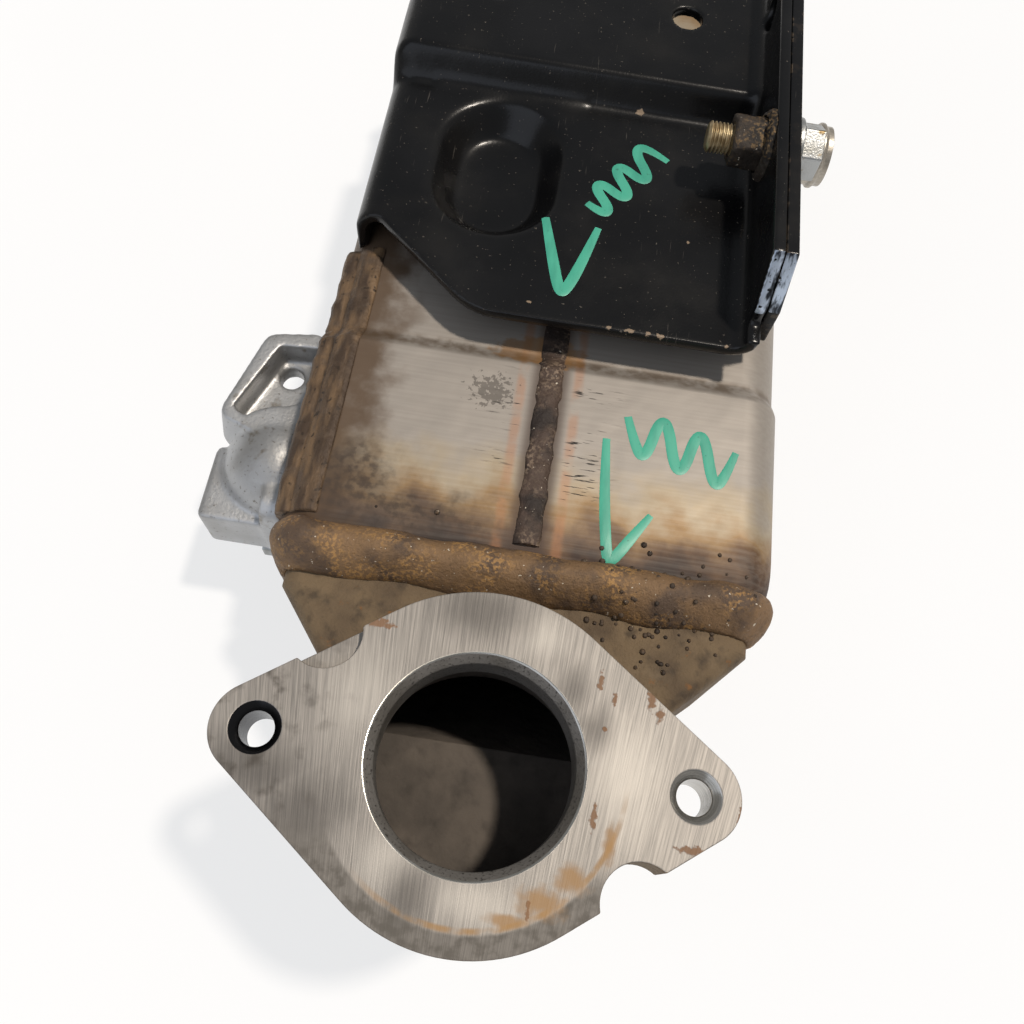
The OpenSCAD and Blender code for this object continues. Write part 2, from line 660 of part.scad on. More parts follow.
module outlet_taper_body(sink) hull() {
    along_y(taper_start - past, past)
        shell_oblong(outlet_inset_w + sink, outlet_inset_h + sink, outlet_rim_r);
    rod_y(shell_offset, neck_start, shell_cz, outlet_neck_d - 2 * sink, past);
}

module outlet_tank() color("silver") difference() {
    union() {
        along_y(shell_end - rim_depth, rim_depth + outlet_rim)
            shell_oblong(outlet_inset_w, outlet_inset_h, outlet_rim_r);
        outlet_taper_body(0);
        rod_y(shell_offset, neck_start, shell_cz, outlet_neck_d, outlet_neck_len + outlet_flange_t / 2);
    }
    along_y(shell_end - rim_depth - past, rim_depth + outlet_rim + past)
        shell_oblong(outlet_inset_w + outlet_wall, outlet_inset_h + outlet_wall, outlet_rim_r);
    outlet_taper_body(outlet_wall);
    rod_y(shell_offset, neck_start, shell_cz, outlet_neck_d - 2 * outlet_wall,
        outlet_neck_len + outlet_flange_t);
}

// Section of the far weld as rows [y, height over the plain shell]
outlet_lap = shell_wall + fit;
function outlet_weld_row(reach, h) = concat(
    [[shell_end + weld_seat, weld_seat - outlet_lap], [shell_end + weld_seat, weld_seat]],
    [for (k = [1, 0.85, 0.6, 0.35, 0.15, 0]) [shell_end + reach * (1 - 2 * k),
        weld_seat - outlet_lap * (1 - k) + h * pow(sin(180 * k), 0.6)]]);

module outlet_weld() color("saddlebrown") {
    rows = loop_rows(shell_w - 2 * bulge_side, shell_h - 2 * bulge_rise, shell_r, [12, 6, 12, 6]);
    n = len(rows);
    loft([for (i = [0 : n - 1]) ring_at(rows[i], outlet_weld_row(
        outlet_weld_reach + 0.3 * swell(i, n, 13), outlet_weld_h + 0.3 * swell(i, n, 9)))], true);
}

// Far flange: slides over the neck and is welded behind
outlet_ear_r = 11;
outlet_middle_r = outlet_neck_d / 2 + 9;
outlet_hole_d = 8.5;
outlet_flange_y = neck_start + outlet_neck_len;

module outlet_flange() color("gray") difference() {
    along_y(outlet_flange_y, outlet_flange_t) translate([shell_offset, shell_cz])
        ear_outline(outlet_middle_r, outlet_ear_r, outlet_spacing);
    rod_y(shell_offset, outlet_flange_y - past, shell_cz, outlet_neck_d + 2 * fit,
        outlet_flange_t / 2 + past);
    rod_y(shell_offset, outlet_flange_y, shell_cz, outlet_neck_d - 2 * outlet_wall, outlet_flange_t + past);
    for (side = [-1, 1])
        rod_y(shell_offset + side * outlet_spacing / 2, outlet_flange_y - past, shell_cz, outlet_hole_d,
            outlet_flange_t + 2 * past);
}

flange_weld = 5;

module outlet_flange_weld() color("dimgray")
    translate([shell_offset, outlet_flange_y - weld_seat, shell_cz]) rotate([90, 0, 0]) rotate_extrude()
        translate([outlet_neck_d / 2 + weld_seat, 0])
        polygon([[0, 0], [flange_weld, 0], [0.6 * flange_weld, 0.6 * flange_weld], [0, flange_weld]]);

// Bracket: one folded sheet with its left edge down, its right side up and a step along its length
base_top = plain_top + dimple_depth + bracket_t;
bracket_y = shell_start + bracket_start;
bracket_end = bracket_y + bracket_len;
bracket_x = shell_left + bracket_left;
upright_x = bracket_x + bracket_w;
upright_top = base_top + upright_h;
bend_steps = 6;
step_shares = [0, 0.2, 0.35, 0.5, 0.65, 0.8, 1];
// Near end of the upright: a plain edge, then a chamfer up to the top
upright_in = 8;
chamfer_y = 9;
chamfer_z = 17;
edge_run = 0.05;
near_y = bracket_y + upright_in;
upright_table = [[bracket_y, base_top + 1.1 * bend_r], [near_y - edge_run, base_top + 1.1 * bend_r],
    [near_y, upright_top - chamfer_z], [near_y + chamfer_y, upright_top], [bracket_end, upright_top]];
bracket_stations = concat([for (p = upright_table) if (p[0] < bracket_end) p[0]],
    [for (k = step_shares) bracket_y + step_y + k * step_len], [bracket_end]);
function base_z(y) = base_top + step_rise * s_curve(max(0, min(1, (y - bracket_y - step_y) / step_len)));
function bend(cx, cz, r, a0, a1) = [for (i = [0 : bend_steps]) let (a = a0 + (a1 - a0) * i / bend_steps)
    [cx + r * cos(a), cz + r * sin(a)]];
// Height at which the bracket's left edge stands on the shell's rounded corner
foot_gap = 0.3;
function foot_z(x) = plain_top - shell_r
    + sqrt(pow(shell_r + foot_gap, 2) - pow(x - shell_left - bulge_side - shell_r, 2));
function bracket_section(z, top) = let (lx = bracket_x + bend_r + bracket_t, lz = z - bend_r - bracket_t,
    rx = upright_x - bend_r, rz = z + bend_r) concat(
    [[bracket_x, foot_z(bracket_x)]],
    bend(lx, lz, bend_r + bracket_t, 180, 90), bend(rx, rz, bend_r, 270, 360),
    [[upright_x, top], [upright_x + bracket_t, top]],
    bend(rx, rz, bend_r + bracket_t, 360, 270), bend(lx, lz, bend_r, 90, 180),
    [[bracket_x + bracket_t, foot_z(bracket_x + bracket_t)]]);
dimple_cx = bracket_x + dimple_x;
dimple_cy = bracket_y + dimple_y;
nut_d = 1.8 * clamp_d;
nut_weld_w = 2.4;
clamp_z = base_top + bend_r + clamp_room + nut_weld_w + nut_d / 2;
clamp_at = [bracket_y + clamp_y, clamp_z];
side_hole_at = [bracket_end - mount_in, clamp_z];
mount_x = bracket_x + (bracket_w + bracket_t) / 2;

// Stadium-shaped frustum of the dimple's hollow, carried on past the sheet's top
module dimple_hollow() hull() for (side = [-1, 1])
    translate([dimple_cx, dimple_cy + side * (dimple_l - dimple_w) / 2, base_top - dimple_depth])
        cylinder(r1 = dimple_w / 2, r2 = dimple_w / 2 + dimple_slope * (dimple_depth + past) / dimple_depth,
            h = dimple_depth + past, $fn = 48);

// The dimple's outer form, which reaches halfway into the sheet above it
module dimple_outside() hull() for (side = [-1, 1])
    translate([dimple_cx, dimple_cy + side * (dimple_l - dimple_w) / 2,
        base_top - dimple_depth - bracket_t])
        cylinder(r1 = dimple_w / 2 + bracket_t / 2, r2 = dimple_w / 2 + dimple_slope + bracket_t / 2,
            h = dimple_depth + bracket_t / 2, $fn = 48);

// The near left corner cut: a slanted edge that ends in a round corner at the near edge
cut_r = 22;
cut_in = bend_r + bracket_t;
cut_lean = atan2(cut_y, cut_x - cut_in);
cut_arc = [0.1, 0.25, 0.4, 0.55, 0.7, 0.85, 1];

module corner_cut() {
    round_x = bracket_x + cut_x + cut_r * tan(cut_lean / 2);
    polygon(concat([[bracket_x - past, bracket_y - past], [round_x, bracket_y - past]],
        [for (k = cut_arc) let (a = k * cut_lean)
            [round_x - cut_r * sin(a), bracket_y + cut_r * (1 - cos(a))]],
        [[bracket_x + cut_in, bracket_y + cut_y], [bracket_x - past, bracket_y + cut_y]]));
}

module bracket() color("black") difference() {
    union() {
        loft([for (y = bracket_stations)
            [for (p = bracket_section(base_z(y), lookup(y, upright_table))) [p[0], y, p[1]]]], false);
        dimple_outside();
    }
    dimple_hollow();
    translate([0, 0, plain_top - shell_r]) linear_extrude(base_top - plain_top + shell_r + past)
        corner_cut();
    rod_x(upright_x - past, clamp_at[0], clamp_at[1], clamp_d + 1, bracket_t + 2 * past);
    rod_x(upright_x - past, side_hole_at[0], side_hole_at[1], mount_hole_d, bracket_t + 2 * past);
    for (side = [-1, 1]) translate([mount_x + side * mount_spacing / 2, bracket_end - mount_in,
        base_top + step_rise - bracket_t - past]) cylinder(d = mount_hole_d, h = bracket_t + 2 * past);
}

module bracket_outer_plate() color("black") difference() {
    along_x(upright_x + bracket_t, outer_plate_t) polygon([[near_y, base_top - bracket_t],
        [near_y, upright_top - chamfer_z], [near_y + chamfer_y, upright_top],
        [bracket_end, upright_top], [bracket_end, base_top - bracket_t]]);
    rod_x(upright_x + bracket_t - past, clamp_at[0], clamp_at[1], clamp_d + 1, outer_plate_t + 2 * past);
    rod_x(upright_x + bracket_t - past, side_hole_at[0], side_hole_at[1], mount_hole_d,
        outer_plate_t + 2 * past);
}

module clamp_bolt() color("lightgray") mirror([1, 0, 0])
    bolt_x(-upright_x - bracket_t - outer_plate_t, clamp_at[0], clamp_at[1], clamp_d,
        bracket_t + outer_plate_t + nut_t + clamp_tip);

module weld_nut() color("gray") difference() {
    translate([upright_x - nut_t, clamp_at[0], clamp_at[1]]) rotate([0, 90, 0])
        cylinder(d = nut_d, h = nut_t, $fn = 6);
    rod_x(upright_x - nut_t - past, clamp_at[0], clamp_at[1], clamp_d + 2 * fit, nut_t + 2 * past);
}

module nut_weld() color("dimgray")
    translate([upright_x, clamp_at[0], clamp_at[1]]) rotate([0, -90, 0]) rotate_extrude()
        translate([nut_d / 2 + weld_seat, 0])
        polygon([[0, 0], [nut_weld_w, 0], [0.7 * nut_weld_w, 0.6 * nut_weld_w], [0, nut_weld_w]]);

inlet_elbow();
inlet_weld();
shell();
top_seam_weld();
corner_seam_weld();
front_header();
far_header();
gas_tubes();
tube_fins();
tube_supports();
coolant_pad();
coolant_gasket();
coolant_housing();
housing_bolts();
outlet_pipe();
outlet_pipe_weld();
outlet_tank();
outlet_weld();
outlet_flange();
outlet_flange_weld();
bracket();
bracket_outer_plate();
clamp_bolt();
weld_nut();
nut_weld();
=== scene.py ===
import math
import random

import bmesh
import bpy
from mathutils import Matrix, Vector, noise
from mathutils.bvhtree import BVHTree


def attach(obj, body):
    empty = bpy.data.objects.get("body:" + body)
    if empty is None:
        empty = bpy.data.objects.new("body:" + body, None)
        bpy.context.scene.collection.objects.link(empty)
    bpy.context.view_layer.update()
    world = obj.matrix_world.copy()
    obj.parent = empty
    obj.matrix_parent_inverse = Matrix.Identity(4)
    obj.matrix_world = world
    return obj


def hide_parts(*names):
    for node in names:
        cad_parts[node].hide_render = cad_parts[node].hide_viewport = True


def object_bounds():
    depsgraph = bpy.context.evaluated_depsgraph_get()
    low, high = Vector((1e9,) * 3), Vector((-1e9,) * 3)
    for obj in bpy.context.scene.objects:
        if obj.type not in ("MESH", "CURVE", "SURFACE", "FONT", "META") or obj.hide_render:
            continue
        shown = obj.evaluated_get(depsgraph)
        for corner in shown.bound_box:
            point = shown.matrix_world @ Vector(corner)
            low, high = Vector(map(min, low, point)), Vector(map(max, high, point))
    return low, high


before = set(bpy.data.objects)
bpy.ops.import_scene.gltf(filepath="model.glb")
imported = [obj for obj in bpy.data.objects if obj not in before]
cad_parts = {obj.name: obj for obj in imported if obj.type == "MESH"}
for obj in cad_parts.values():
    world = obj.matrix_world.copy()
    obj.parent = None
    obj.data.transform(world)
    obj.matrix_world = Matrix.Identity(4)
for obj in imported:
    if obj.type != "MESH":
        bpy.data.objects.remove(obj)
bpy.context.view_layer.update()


# Inlet elbow: one steel casting with a two-hole flange, a round neck and an oblong rim.
# The sealing face, the bore and the two holes are milled. The rest keeps its cast skin.
scene = bpy.context.scene
mm = 0.001


def solid_of(name):
    """A CAD node's shape as a closed mesh with whole flat faces."""
    bm = bmesh.new()
    bm.from_mesh(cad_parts[name].data)
    bmesh.ops.remove_doubles(bm, verts=bm.verts, dist=0.002 * mm)
    bmesh.ops.dissolve_limit(bm, angle_limit=math.radians(0.3), verts=bm.verts, edges=bm.edges)
    return bm


def break_edges(bm, width, steps=2, over=35):
    """Rounds every edge that is sharper than a number of degrees."""
    sharp = [e for e in bm.edges if len(e.link_faces) == 2 and e.calc_face_angle() > math.radians(over)]
    bmesh.ops.bevel(bm, geom=sharp, offset=width * mm, segments=steps, profile=0.5,
                    affect="EDGES", material=-1, clamp_overlap=False)


def piece(bm, name, finishes, stands_for=None, crease=40, even=True):
    """Makes the mesh an object that rides with the part."""
    mesh = bpy.data.meshes.new(name)
    bm.to_mesh(mesh)
    bm.free()
    if "custom_normal" in mesh.attributes:
        mesh.attributes.remove(mesh.attributes["custom_normal"])
    mesh.shade_smooth()
    mesh.set_sharp_from_angle(angle=math.radians(crease))
    for finish in finishes:
        mesh.materials.append(finish)
    obj = bpy.data.objects.new(name, mesh)
    scene.collection.objects.link(obj)
    if even:
        shading = obj.modifiers.new("even_shading", "WEIGHTED_NORMAL")
        shading.keep_sharp = True
    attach(obj, "root")
    if stands_for:
        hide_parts(stands_for)
    return obj


def tint(code):
    """A colour written as six hexadecimal digits, as Blender's linear colour."""
    levels = [int(code[i:i + 2], 16) / 255 for i in (0, 2, 4)]
    return [c / 12.92 if c <= 0.04045 else ((c + 0.055) / 1.055) ** 2.4 for c in levels] + [1.0]


def node(tree, kind, wires, **settings):
    """Adds a shader node, with its settings, its fixed inputs and its links."""
    made = tree.nodes.new("ShaderNode" + kind)
    for key, value in settings.items():
        setattr(made, key, value)
    for key, value in wires.items():
        if isinstance(value, bpy.types.NodeSocket):
            tree.links.new(value, made.inputs[key])
        else:
            made.inputs[key].default_value = value
    return made


def effect(name, inputs, outputs):
    """Starts a node group with named inputs and outputs."""
    tree = bpy.data.node_groups.new(name, "ShaderNodeTree")
    for label, kind, value in inputs:
        socket = tree.interface.new_socket(label, in_out="INPUT", socket_type="NodeSocket" + kind)
        socket.default_value = value
    for label in outputs:
        tree.interface.new_socket(label, in_out="OUTPUT", socket_type="NodeSocketFloat")
    return tree, tree.nodes.new("NodeGroupInput").outputs, tree.nodes.new("NodeGroupOutput").inputs


def placed(tree, group, **values):
    """Puts a node group in a material and gives back its first output."""
    made = tree.nodes.new("ShaderNodeGroup")
    made.node_tree = group
    for label, value in values.items():
        made.inputs[label].default_value = value
    return made.outputs[0]


def sum_of(tree, operation, a, b):
    """One step of arithmetic on values that change over the surface."""
    return node(tree, "Math", {0: a, 1: b}, operation=operation).outputs[0]


def ramp_to_one(tree, value, low, high):
    """Zero below low, one above high and smooth between; low may be the larger."""
    return node(tree, "MapRange", {"Value": value, "From Min": low, "From Max": high},
                interpolation_type="SMOOTHSTEP").outputs[0]


def over(tree, mask, under, top):
    """Lays one colour over another where the mask is one."""
    return node(tree, "Mix", {0: mask, 6: under, 7: top}, data_type="RGBA").outputs[2]


def between(tree, mask, low, high):
    """Goes from one number to another with the mask."""
    return node(tree, "Mix", {0: mask, 2: low, 3: high}, data_type="FLOAT").outputs[0]


def new_finish(name, metal, rough):
    """A material with its shader's metallic and roughness set."""
    made = bpy.data.materials.new(name)
    made.use_nodes = True
    shader = made.node_tree.nodes["Principled BSDF"]
    shader.inputs["Metallic"].default_value = metal
    shader.inputs["Roughness"].default_value = rough
    return made, made.node_tree, shader


def relief(tree, shader, *layers):
    """Bumps the surface with layers of (height field, depth in mm)."""
    below = None
    for field, depth in layers:
        wires = {"Height": field, "Distance": depth * mm, "Strength": 1.0}
        if below:
            wires["Normal"] = below
        below = node(tree, "Bump", wires).outputs[0]
    tree.links.new(below, shader.inputs["Normal"])


def axis_of(tree, letter):
    """One of the part's own coordinates."""
    place = node(tree, "TexCoord", {}).outputs["Object"]
    return node(tree, "SeparateXYZ", {0: place}).outputs[letter]


# Cloudy patches on the part's own coordinates, stretched where a grain has a direction.
patches, given, result = effect("patches", (
    ("Scale", "Float", 100.0), ("Detail", "Float", 4.0), ("Low", "Float", 0.45), ("High", "Float", 0.6),
    ("Stretch", "Vector", (1, 1, 1)), ("Warp", "Float", 0.0)), ("Mask",))
where = node(patches, "TexCoord", {}).outputs["Object"]
grain = node(patches, "VectorMath", {0: where, 1: given["Stretch"]}, operation="MULTIPLY").outputs[0]
cloud = node(patches, "TexNoise", {"Vector": grain, "Scale": given["Scale"], "Detail": given["Detail"],
                                   "Distortion": given["Warp"]}).outputs[0]
cut = node(patches, "MapRange", {"Value": cloud, "From Min": given["Low"], "From Max": given["High"]},
           interpolation_type="SMOOTHSTEP").outputs[0]
patches.links.new(cut, result["Mask"])

# One ragged stain, chip, scuff, painted highlight or painted shade at a place on the part.
spot, given, result = effect("spot", (
    ("Centre", "Vector", (0, 0, 0)), ("Size", "Vector", (1, 1, 1)), ("Ragged", "Float", 0.8),
    ("Scale", "Float", 500.0), ("Edge", "Float", 0.17)), ("Mask",))
where = node(spot, "TexCoord", {}).outputs["Object"]
away = node(spot, "VectorMath", {0: where, 1: given["Centre"]}, operation="SUBTRACT").outputs[0]
share = node(spot, "VectorMath", {0: away, 1: given["Size"]}, operation="DIVIDE").outputs[0]
reach = node(spot, "VectorMath", {0: share}, operation="LENGTH").outputs["Value"]
cloud = node(spot, "TexNoise", {"Vector": where, "Scale": given["Scale"], "Detail": 3.0}).outputs[0]
swing = node(spot, "Math", {0: cloud, 1: 0.5}, operation="SUBTRACT").outputs[0]
wobble = node(spot, "Math", {0: swing, 1: given["Ragged"], 2: reach}, operation="MULTIPLY_ADD").outputs[0]
outer = node(spot, "Math", {0: 0.92, 1: given["Edge"]}, operation="ADD").outputs[0]
inner = node(spot, "Math", {0: 0.92, 1: given["Edge"]}, operation="SUBTRACT").outputs[0]
cut = node(spot, "MapRange", {"Value": wobble, "From Min": outer, "From Max": inner},
           interpolation_type="SMOOTHSTEP").outputs[0]
spot.links.new(cut, result["Mask"])


def spots(tree, places, ragged=1.4, scale=450.0, edge=0.17):
    """The joint mask of many spots, each (x, y, z, half sizes along x, y, z) in mm."""
    mask = None
    for x, y, z, sx, sy, sz in places:
        one = placed(tree, spot, Centre=(x * mm, y * mm, z * mm), Size=(sx * mm, sy * mm, sz * mm),
                     Ragged=ragged, Scale=scale, Edge=edge)
        mask = one if mask is None else sum_of(tree, "MAXIMUM", mask, one)
    return mask


cast_skin, tree, shader = new_finish("cast_skin", 0.25, 0.75)
colour = over(tree, placed(tree, patches, Scale=70.0, Low=0.35, High=0.7, Detail=7.0),
              tint("75634b"), tint("594a39"))
blotches = placed(tree, patches, Scale=190.0, Low=0.5, High=0.74, Detail=7.0)
colour = over(tree, sum_of(tree, "MULTIPLY", blotches, 0.7), colour, tint("3b3228"))
pale = placed(tree, patches, Scale=50.0, Low=0.54, High=0.72, Detail=7.0)
colour = over(tree, sum_of(tree, "MULTIPLY", pale, 0.5), colour, tint("90806a"))
colour = over(tree, placed(tree, patches, Scale=240.0, Low=0.64, High=0.74, Detail=6.0),
              colour, tint("7d5833"))
tree.links.new(colour, shader.inputs["Base Color"])
relief(tree, shader, (placed(tree, patches, Scale=300.0, Detail=7.0, Low=0.2, High=0.8), 0.3),
       (placed(tree, patches, Scale=1700.0, Detail=3.0, Low=0.3, High=0.7), 0.07))

milled_face, tree, shader = new_finish("milled_face", 0.32, 0.5)
east = axis_of(tree, "X")
north = axis_of(tree, "Y")
fan = sum_of(tree, "DIVIDE", east, sum_of(tree, "ADD", north, 260 * mm))


def fanned(across, along):
    """Scratches that fan out from a point in front of the flange."""
    place = node(tree, "CombineXYZ", {"X": sum_of(tree, "MULTIPLY", fan, across),
                                      "Y": sum_of(tree, "MULTIPLY", north, along)}).outputs[0]
    cloud = node(tree, "TexNoise", {"Vector": place, "Scale": 1.0, "Detail": 3.0,
                                    "Distortion": 0.3}).outputs[0]
    return ramp_to_one(tree, cloud, 0.3, 0.72)


lines = fanned(620.0, 45.0)
fine_lines = fanned(1500.0, 130.0)
colour = over(tree, lines, tint("716d68"), tint("98928b"))
colour = over(tree, sum_of(tree, "MULTIPLY", fine_lines, 0.3), colour, tint("b3ada5"))
# Painted highlights: lighter spots on the sealing face stand in for the sky and the key lamp mirrored in it.
painted_highlights = spots(tree, ((-30, 13, 0, 8, 11, 6), (-16, -24, 0, 6, 6, 6), (5.5, -30, 0, 9, 4, 6),
                     (36, 2, 0, 7, 12, 6), (12, 33, 0, 5, 5, 6)), ragged=0.9, scale=90.0, edge=0.8)
colour = over(tree, sum_of(tree, "MULTIPLY", painted_highlights, 0.5), colour, tint("bdb7ae"))
# Painted reflections: darker wedges on the sealing face stand in for dark surroundings mirrored in it.
painted_dark_reflections = spots(tree, ((-10.5, -31, 0, 5, 7, 6), (-50, -9.5, 0, 12, 7, 6), (-38, -16, 0, 10, 8, 6),
                   (-4, 37, 0, 12, 7, 6), (21, 20, 0, 4, 6, 6), (27, 12, 0, 4, 5, 6)),
            ragged=1.2, scale=90.0, edge=0.8)
colour = over(tree, sum_of(tree, "MULTIPLY", painted_dark_reflections, 0.72), colour, tint("4b4743"))
flat_place = node(tree, "CombineXYZ", {"X": east, "Y": north}).outputs[0]
radius = node(tree, "VectorMath", {0: flat_place}, operation="LENGTH").outputs["Value"]
# Painted shade: the sealing face is mottled darker towards its left ear; the same mask also raises the
# roughness further down.
left_shade = sum_of(tree, "MULTIPLY", placed(tree, patches, Scale=170.0, Low=0.5, High=0.72, Detail=8.0),
               ramp_to_one(tree, east, -24 * mm, -52 * mm))
colour = over(tree, sum_of(tree, "MULTIPLY", left_shade, 0.8), colour, tint("453f38"))
near_side = ramp_to_one(tree, north, -16 * mm, -27 * mm)
dull_ring = sum_of(tree, "MULTIPLY", ramp_to_one(tree, radius, 36.4 * mm, 37.6 * mm), near_side)
dirt = placed(tree, patches, Scale=330.0, Low=0.4, High=0.66, Detail=8.0)
colour = over(tree, sum_of(tree, "MULTIPLY", dull_ring, between(tree, dirt, 0.5, 0.9)),
              colour, tint("59544d"))
off_ring = sum_of(tree, "ABSOLUTE", sum_of(tree, "SUBTRACT", radius, 36.2 * mm), 0.0)
arc_side = sum_of(tree, "SUBTRACT", sum_of(tree, "MULTIPLY", east, 0.45), north)
arc = sum_of(tree, "MULTIPLY", ramp_to_one(tree, off_ring, 1.0 * mm, 0.2 * mm),
             ramp_to_one(tree, arc_side, 14 * mm, 34 * mm))
arc = sum_of(tree, "MULTIPLY", arc, placed(tree, patches, Scale=170.0, Low=0.3, High=0.6, Detail=6.0))
colour = over(tree, sum_of(tree, "MULTIPLY", arc, 0.75), colour, tint("a07a45"))
bloom = spots(tree, ((11.7, -32.8, 0, 4.0, 1.3, 4), (18.8, -28, 0, 5.0, 2.8, 4),
                     (25.3, -22.4, 0, 3.6, 2.8, 4), (33, -13.4, 0, 1.2, 4.0, 4)),
              ragged=1.8, scale=300.0, edge=0.6)
colour = over(tree, sum_of(tree, "MULTIPLY", bloom, 0.75), colour, tint("a07a48"))
stains = spots(tree, ((27.3, 23.7, 0, 0.6, 2.2, 4), (31.3, 19.8, 0, 0.5, 1.6, 4),
                      (40.3, 21.2, 0, 1.0, 2.4, 4), (42.5, 17.7, 0, 0.8, 1.6, 4),
                      (29.4, 12.3, 0, 0.5, 0.6, 4), (28.9, -8.3, 0, 0.7, 2.6, 4),
                      (52.5, -12.1, 0, 3.0, 0.9, 4), (63.3, -3.1, 0, 0.8, 2.2, 4),
                      (16.5, -30, 0, 0.5, 2.2, 4), (-28.6, 29.4, 0, 3.2, 1.1, 4)),
               ragged=3.2, scale=700.0, edge=0.3)
colour = over(tree, sum_of(tree, "MULTIPLY", stains, 0.8), colour, tint("7c5530"))
tree.links.new(colour, shader.inputs["Base Color"])
rust = sum_of(tree, "MAXIMUM", sum_of(tree, "MAXIMUM", stains, bloom), arc)
tree.links.new(between(tree, rust, 0.32, 0.1), shader.inputs["Metallic"])
worn = sum_of(tree, "MAXIMUM", rust, sum_of(tree, "MAXIMUM", left_shade, dull_ring))
tree.links.new(between(tree, worn, 0.5, 0.68), shader.inputs["Roughness"])
relief(tree, shader, (lines, 0.012), (fine_lines, 0.006), (stains, 0.04))

bored_wall, tree, shader = new_finish("bored_wall", 0.35, 0.55)
colour = over(tree, placed(tree, patches, Scale=60.0, Low=0.4, High=0.65, Detail=6.0),
              tint("6d6a66"), tint("56524c"))
colour = over(tree, placed(tree, patches, Scale=1500.0, Low=0.55, High=0.7), colour, tint("3a3733"))
tree.links.new(colour, shader.inputs["Base Color"])
relief(tree, shader, (placed(tree, patches, Scale=1500.0, Low=0.3, High=0.7, Detail=4.0), 0.05))

gas_side, tree, shader = new_finish("gas_side", 0.0, 0.85)
colour = over(tree, placed(tree, patches, Scale=55.0, Low=0.34, High=0.66, Detail=7.0),
              tint("5f574f"), tint("48423c"))
clouds = placed(tree, patches, Scale=160.0, Low=0.46, High=0.8, Detail=7.0)
colour = over(tree, sum_of(tree, "MULTIPLY", clouds, 0.7), colour, tint("38332e"))
tree.links.new(colour, shader.inputs["Base Color"])
relief(tree, shader, (placed(tree, patches, Scale=350.0, Low=0.2, High=0.8, Detail=7.0), 0.2))

drilled_hole, tree, shader = new_finish("drilled_hole", 0.9, 0.25)
turns = placed(tree, patches, Scale=1.0, Stretch=(80.0, 80.0, 3000.0), Low=0.3, High=0.7)
colour = over(tree, turns, tint("9a9790"), tint("c3c0ba"))
# Painted shade: the walls and countersink of the left hole are darkened to near black.
colour = over(tree, ramp_to_one(tree, axis_of(tree, "X"), -40 * mm, -45 * mm), colour, tint("2a2a2c"))
tree.links.new(colour, shader.inputs["Base Color"])
relief(tree, shader, (turns, 0.01))

hole_x = 52.5
hole_reach = 6.6
lip_inner = 25.7
lip_outer = 26.8
scallop_floor = -4.6
cavity_r = 31
bore_end = -11.5
neck_start = -10
neck_end = -51
floor_top = -45
elbow_finishes = (cast_skin, milled_face, bored_wall, drilled_hole, gas_side)
elbow = solid_of("inlet_elbow")
break_edges(elbow, 0.35)
elbow.normal_update()
for face in elbow.faces:
    spot_at = face.calc_center_median() / mm
    from_axis = spot_at.xy.length
    from_hole = min((spot_at.xy - Vector((side * hole_x, 0))).length for side in (-1, 1))
    inward = face.normal.xy.dot(spot_at.xy) < -1
    finish = cast_skin
    if lip_inner < from_axis < lip_outer and spot_at.z > -0.5 and face.normal.z < 0.985:
        finish = drilled_hole
    elif face.normal.z > 0.9 and spot_at.z > scallop_floor:
        finish = milled_face
    elif from_axis < cavity_r and bore_end < spot_at.z < 0.1 and inward:
        finish = bored_wall
    elif from_hole < hole_reach:
        finish = drilled_hole
    elif from_axis < cavity_r and neck_end < spot_at.z < neck_start and inward:
        finish = gas_side
    elif spot_at.z < floor_top and face.normal.z > 0.3:
        finish = gas_side
    face.material_index = elbow_finishes.index(finish)
piece(elbow, "elbow_casting", elbow_finishes, "inlet_elbow")


# Shell: folded stainless sheet with a raised near end, welded along its top and left corner.
# The welds have tinted the sheet brown and straw, and it carries soot, scuffs and brush marks, with painted
# shade along the crease of its step.
def heat_colours(tree, distance):
    """Tint of stainless sheet by its distance from a weld, in metres."""
    cloud = placed(tree, patches, Scale=70.0, Low=0.2, High=0.8, Detail=5.0)
    uneven = node(tree, "Math", {0: cloud, 1: 0.016, 2: distance}, operation="MULTIPLY_ADD").outputs[0]
    share = ramp_to_one(tree, uneven, 0.0, 60 * mm)
    steps = node(tree, "ValToRGB", {0: share})
    stops = ((0.0, "281d16"), (0.05, "382921"), (0.16, "614934"), (0.32, "8f7451"),
             (0.52, "a1937d"), (0.82, "989189"))
    ramp = steps.color_ramp
    while len(ramp.elements) < len(stops):
        ramp.elements.new(0.5)
    for element, (place, code) in zip(ramp.elements, stops):
        element.position = place
        element.color = tint(code)
    return steps.outputs[0]


tinted_sheet, tree, shader = new_finish("tinted_sheet", 0.35, 0.52)
east = axis_of(tree, "X")
north = axis_of(tree, "Y")
from_near = sum_of(tree, "SUBTRACT", north, 65 * mm)
from_far = sum_of(tree, "SUBTRACT", 326 * mm, north)
colour = heat_colours(tree, sum_of(tree, "MINIMUM", from_near, from_far))
rolled = placed(tree, patches, Scale=1.0, Stretch=(30.0, 900.0, 900.0), Low=0.3, High=0.7)
colour = over(tree, sum_of(tree, "MULTIPLY", rolled, 0.08), colour, tint("d6cfc4"))
ragged_edge = placed(tree, patches, Scale=110.0, Low=0.2, High=0.8, Detail=6.0)
uneven = node(tree, "Math", {0: ragged_edge, 1: -12 * mm, 2: east}, operation="MULTIPLY_ADD").outputs[0]
left_edge = ramp_to_one(tree, uneven, -46 * mm, -62 * mm)
colour = over(tree, sum_of(tree, "MULTIPLY", left_edge, 0.88), colour, tint("56412c"))
from_seam = sum_of(tree, "ABSOLUTE", sum_of(tree, "SUBTRACT", east, 5 * mm), 0.0)
seam_dark = ramp_to_one(tree, from_seam, 8 * mm, 4 * mm)
